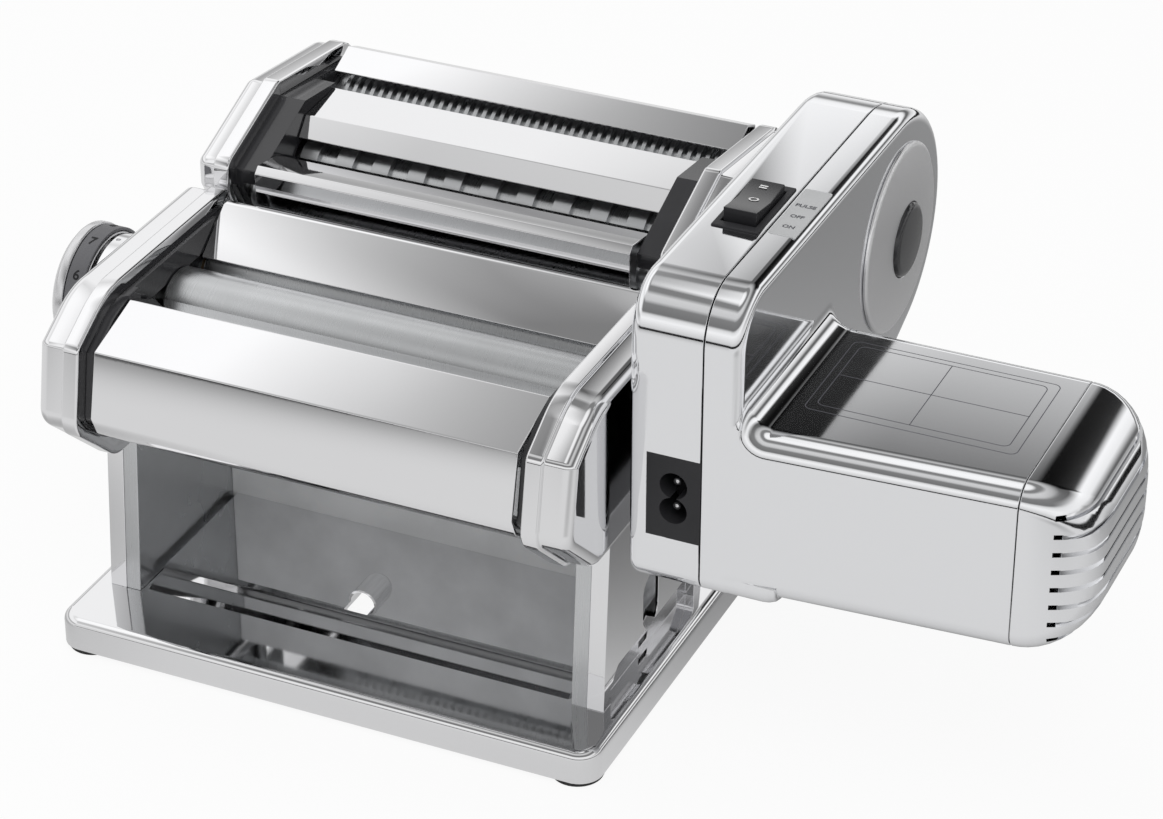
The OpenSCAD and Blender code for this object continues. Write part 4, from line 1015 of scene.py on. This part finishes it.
class PASTA_OT_switch(bpy.types.Operator):
    """Builds the rocker switch, its frame and the power inlet"""
    bl_idname = "pasta.switch"
    bl_label = "Switch and inlet"

    def execute(self, context):
        redraw("switch_frame", edge=0.4)
        redraw("rocker_switch", "dark_gloss", edge=0.8)
        redraw("power_inlet", edge=0.5)
        redraw("motor_collar", edge=0.4)
        self.make_marks()
        self.make_labels()
        self.make_pins()
        return {"FINISHED"}

    def make_marks(self):
        """Off ring and on bars printed on the rocker, following its slopes"""
        mesh = NODES["rocker_switch"].data
        tree = BVHTree.FromPolygons([v.co for v in mesh.vertices],
                                    [p.vertices for p in mesh.polygons])
        marks = []
        for sign, y, size in (("=", 19.3, 5), ("O", 11.4, 4.2)):
            spot_on, normal, _, _ = tree.ray_cast(Vector((SWITCH_X, y, 200)) * MM,
                                                  Vector((0, 0, -1)))
            side = Vector((1, 0, 0))
            up = normal.cross(side).normalized()
            place = Matrix((side, up, normal)).transposed().to_4x4()
            place.translation = spot_on + normal * 0.2 * MM
            marks.append(add_text(sign, size, place, "mark"))
        printed = solid("rocker_marks", join(*marks))
        finish(printed, "rocker_switch", "print_white", replaces=False, smooth=False)

    def make_labels(self):
        """Frosted label beside the switch and the ruled frame on the arm, its notice left out"""
        top = CASE[3][1]
        film = plate(rounded([(118.7, -1.6), (127.6, -1.6), (127.6, 29.8), (118.7, 29.8)], 0.8),
                     lambda p, k: Vector((p[0], p[1], top - 0.3 + 0.38 * k)) * MM)
        label = solid("switch_label", film)
        finish(label, "motor_outer_shell", "label_film", edge=0.03, replaces=False)
        words = [add_text(word, 2.5, Matrix.Translation(Vector((123.1, y, top + 0.1)) * MM), "word")
                 for word, y in (("PULSE", 18.6), ("OFF", 11.4), ("ON", 4.4))]
        printed = solid("switch_words", join(*words))
        finish(printed, "motor_outer_shell", "print_grey", replaces=False, smooth=False)
        lines = [frame_line(rounded([(x0, y0), (x1, y0), (x1, y1), (x0, y1)], 2.4, 6), 0.3, ARM_TOP)
                 for x0, y0, x1, y1 in ((140.5, -25, 206.5, 19), (143.2, -21.5, 203.2, 16.7))]
        sunk, raised = ARM_TOP - LINE_SUNK, ARM_TOP + LINE_RAISED
        lines += [box_mesh((172.45, -21.4, sunk), (172.75, 16.6, raised)),
                  box_mesh((143.3, -2.5, sunk), (203.1, -2.2, raised))]
        ruled = solid("arm_label", join(*lines))
        finish(ruled, "motor_outer_shell", "print_grey", replaces=False, smooth=False)

    def make_pins(self):
        """Two round-nosed pins in the inlet's well"""
        (x0, _, z0), (x1, _, z1) = low("power_inlet"), high("power_inlet")
        x, z = (x0 + x1) / 2, (z0 + z1) / 2
        nose = [(PIN_R * cos(radians(a)), PIN_R * sin(radians(a))) for a in (80, 60, 40, 20, 0)]
        stations = [(r, PIN_TIP_Y - h) for r, h in nose] + [(PIN_R, PIN_ROOT_Y)]
        turns = [2 * pi * i / PIN_SIDES for i in range(PIN_SIDES)]
        pins = []
        for rise in (-PIN_RISE, PIN_RISE):
            rings = [[Vector((x + r * cos(t), y, z + rise + r * sin(t))) * MM for t in turns]
                     for r, y in stations]
            pins.append(loft(rings))
        finish(solid("inlet_pins", join(*pins)), "power_inlet", "alloy", edge=0, replaces=False)


class PASTA_OT_works(bpy.types.Operator):
    """Builds the motor, its fan, the gears and the output shaft inside the case"""
    bl_idname = "pasta.works"
    bl_label = "Motor works"

    def execute(self, context):
        for node in ("motor_can", "motor_rotor", "output_shaft", "output_gear", "reduction_gear"):
            redraw(node, edge=0.3)
        return {"FINISHED"}


STEPS = (PASTA_OT_base, PASTA_OT_stand, PASTA_OT_head, PASTA_OT_feed, PASTA_OT_rollers, PASTA_OT_knob,
         PASTA_OT_cutter_case, PASTA_OT_cutters, PASTA_OT_motor_case, PASTA_OT_end_cap, PASTA_OT_badge,
         PASTA_OT_switch, PASTA_OT_works, PASTA_OT_studio)


class PASTA_PT_panel(bpy.types.Panel):
    """Lists the sizes, the finishes and the building steps"""
    bl_idname = "PASTA_PT_panel"
    bl_label = "Pasta Machine"
    bl_space_type = "VIEW_3D"
    bl_region_type = "UI"
    bl_category = "Pasta Machine"

    def draw(self, context):
        for group in (context.scene.pasta_sizes, context.scene.pasta_finishes, context.scene.pasta_studio):
            for name in group.__annotations__:
                self.layout.prop(group, name)
        for step in STEPS:
            self.layout.operator(step.bl_idname)


GROUPS = {"pasta_sizes": PastaSizes, "pasta_finishes": PastaFinishes, "pasta_studio": PastaStudio}


def register():
    for group in GROUPS.values():
        bpy.utils.register_class(group)
    for name, group in GROUPS.items():
        setattr(bpy.types.Scene, name, PointerProperty(type=group))
    for step in STEPS:
        bpy.utils.register_class(step)
    bpy.utils.register_class(PASTA_PT_panel)


def unregister():
    bpy.utils.unregister_class(PASTA_PT_panel)
    for step in reversed(STEPS):
        bpy.utils.unregister_class(step)
    for name in GROUPS:
        delattr(bpy.types.Scene, name)
    for group in GROUPS.values():
        bpy.utils.unregister_class(group)


def main():
    register()
    make_finishes(bpy.context.scene.pasta_finishes)
    for step in STEPS:
        group, name = step.bl_idname.split(".")
        getattr(getattr(bpy.ops, group), name)()


if __name__ == "__main__":
    main()
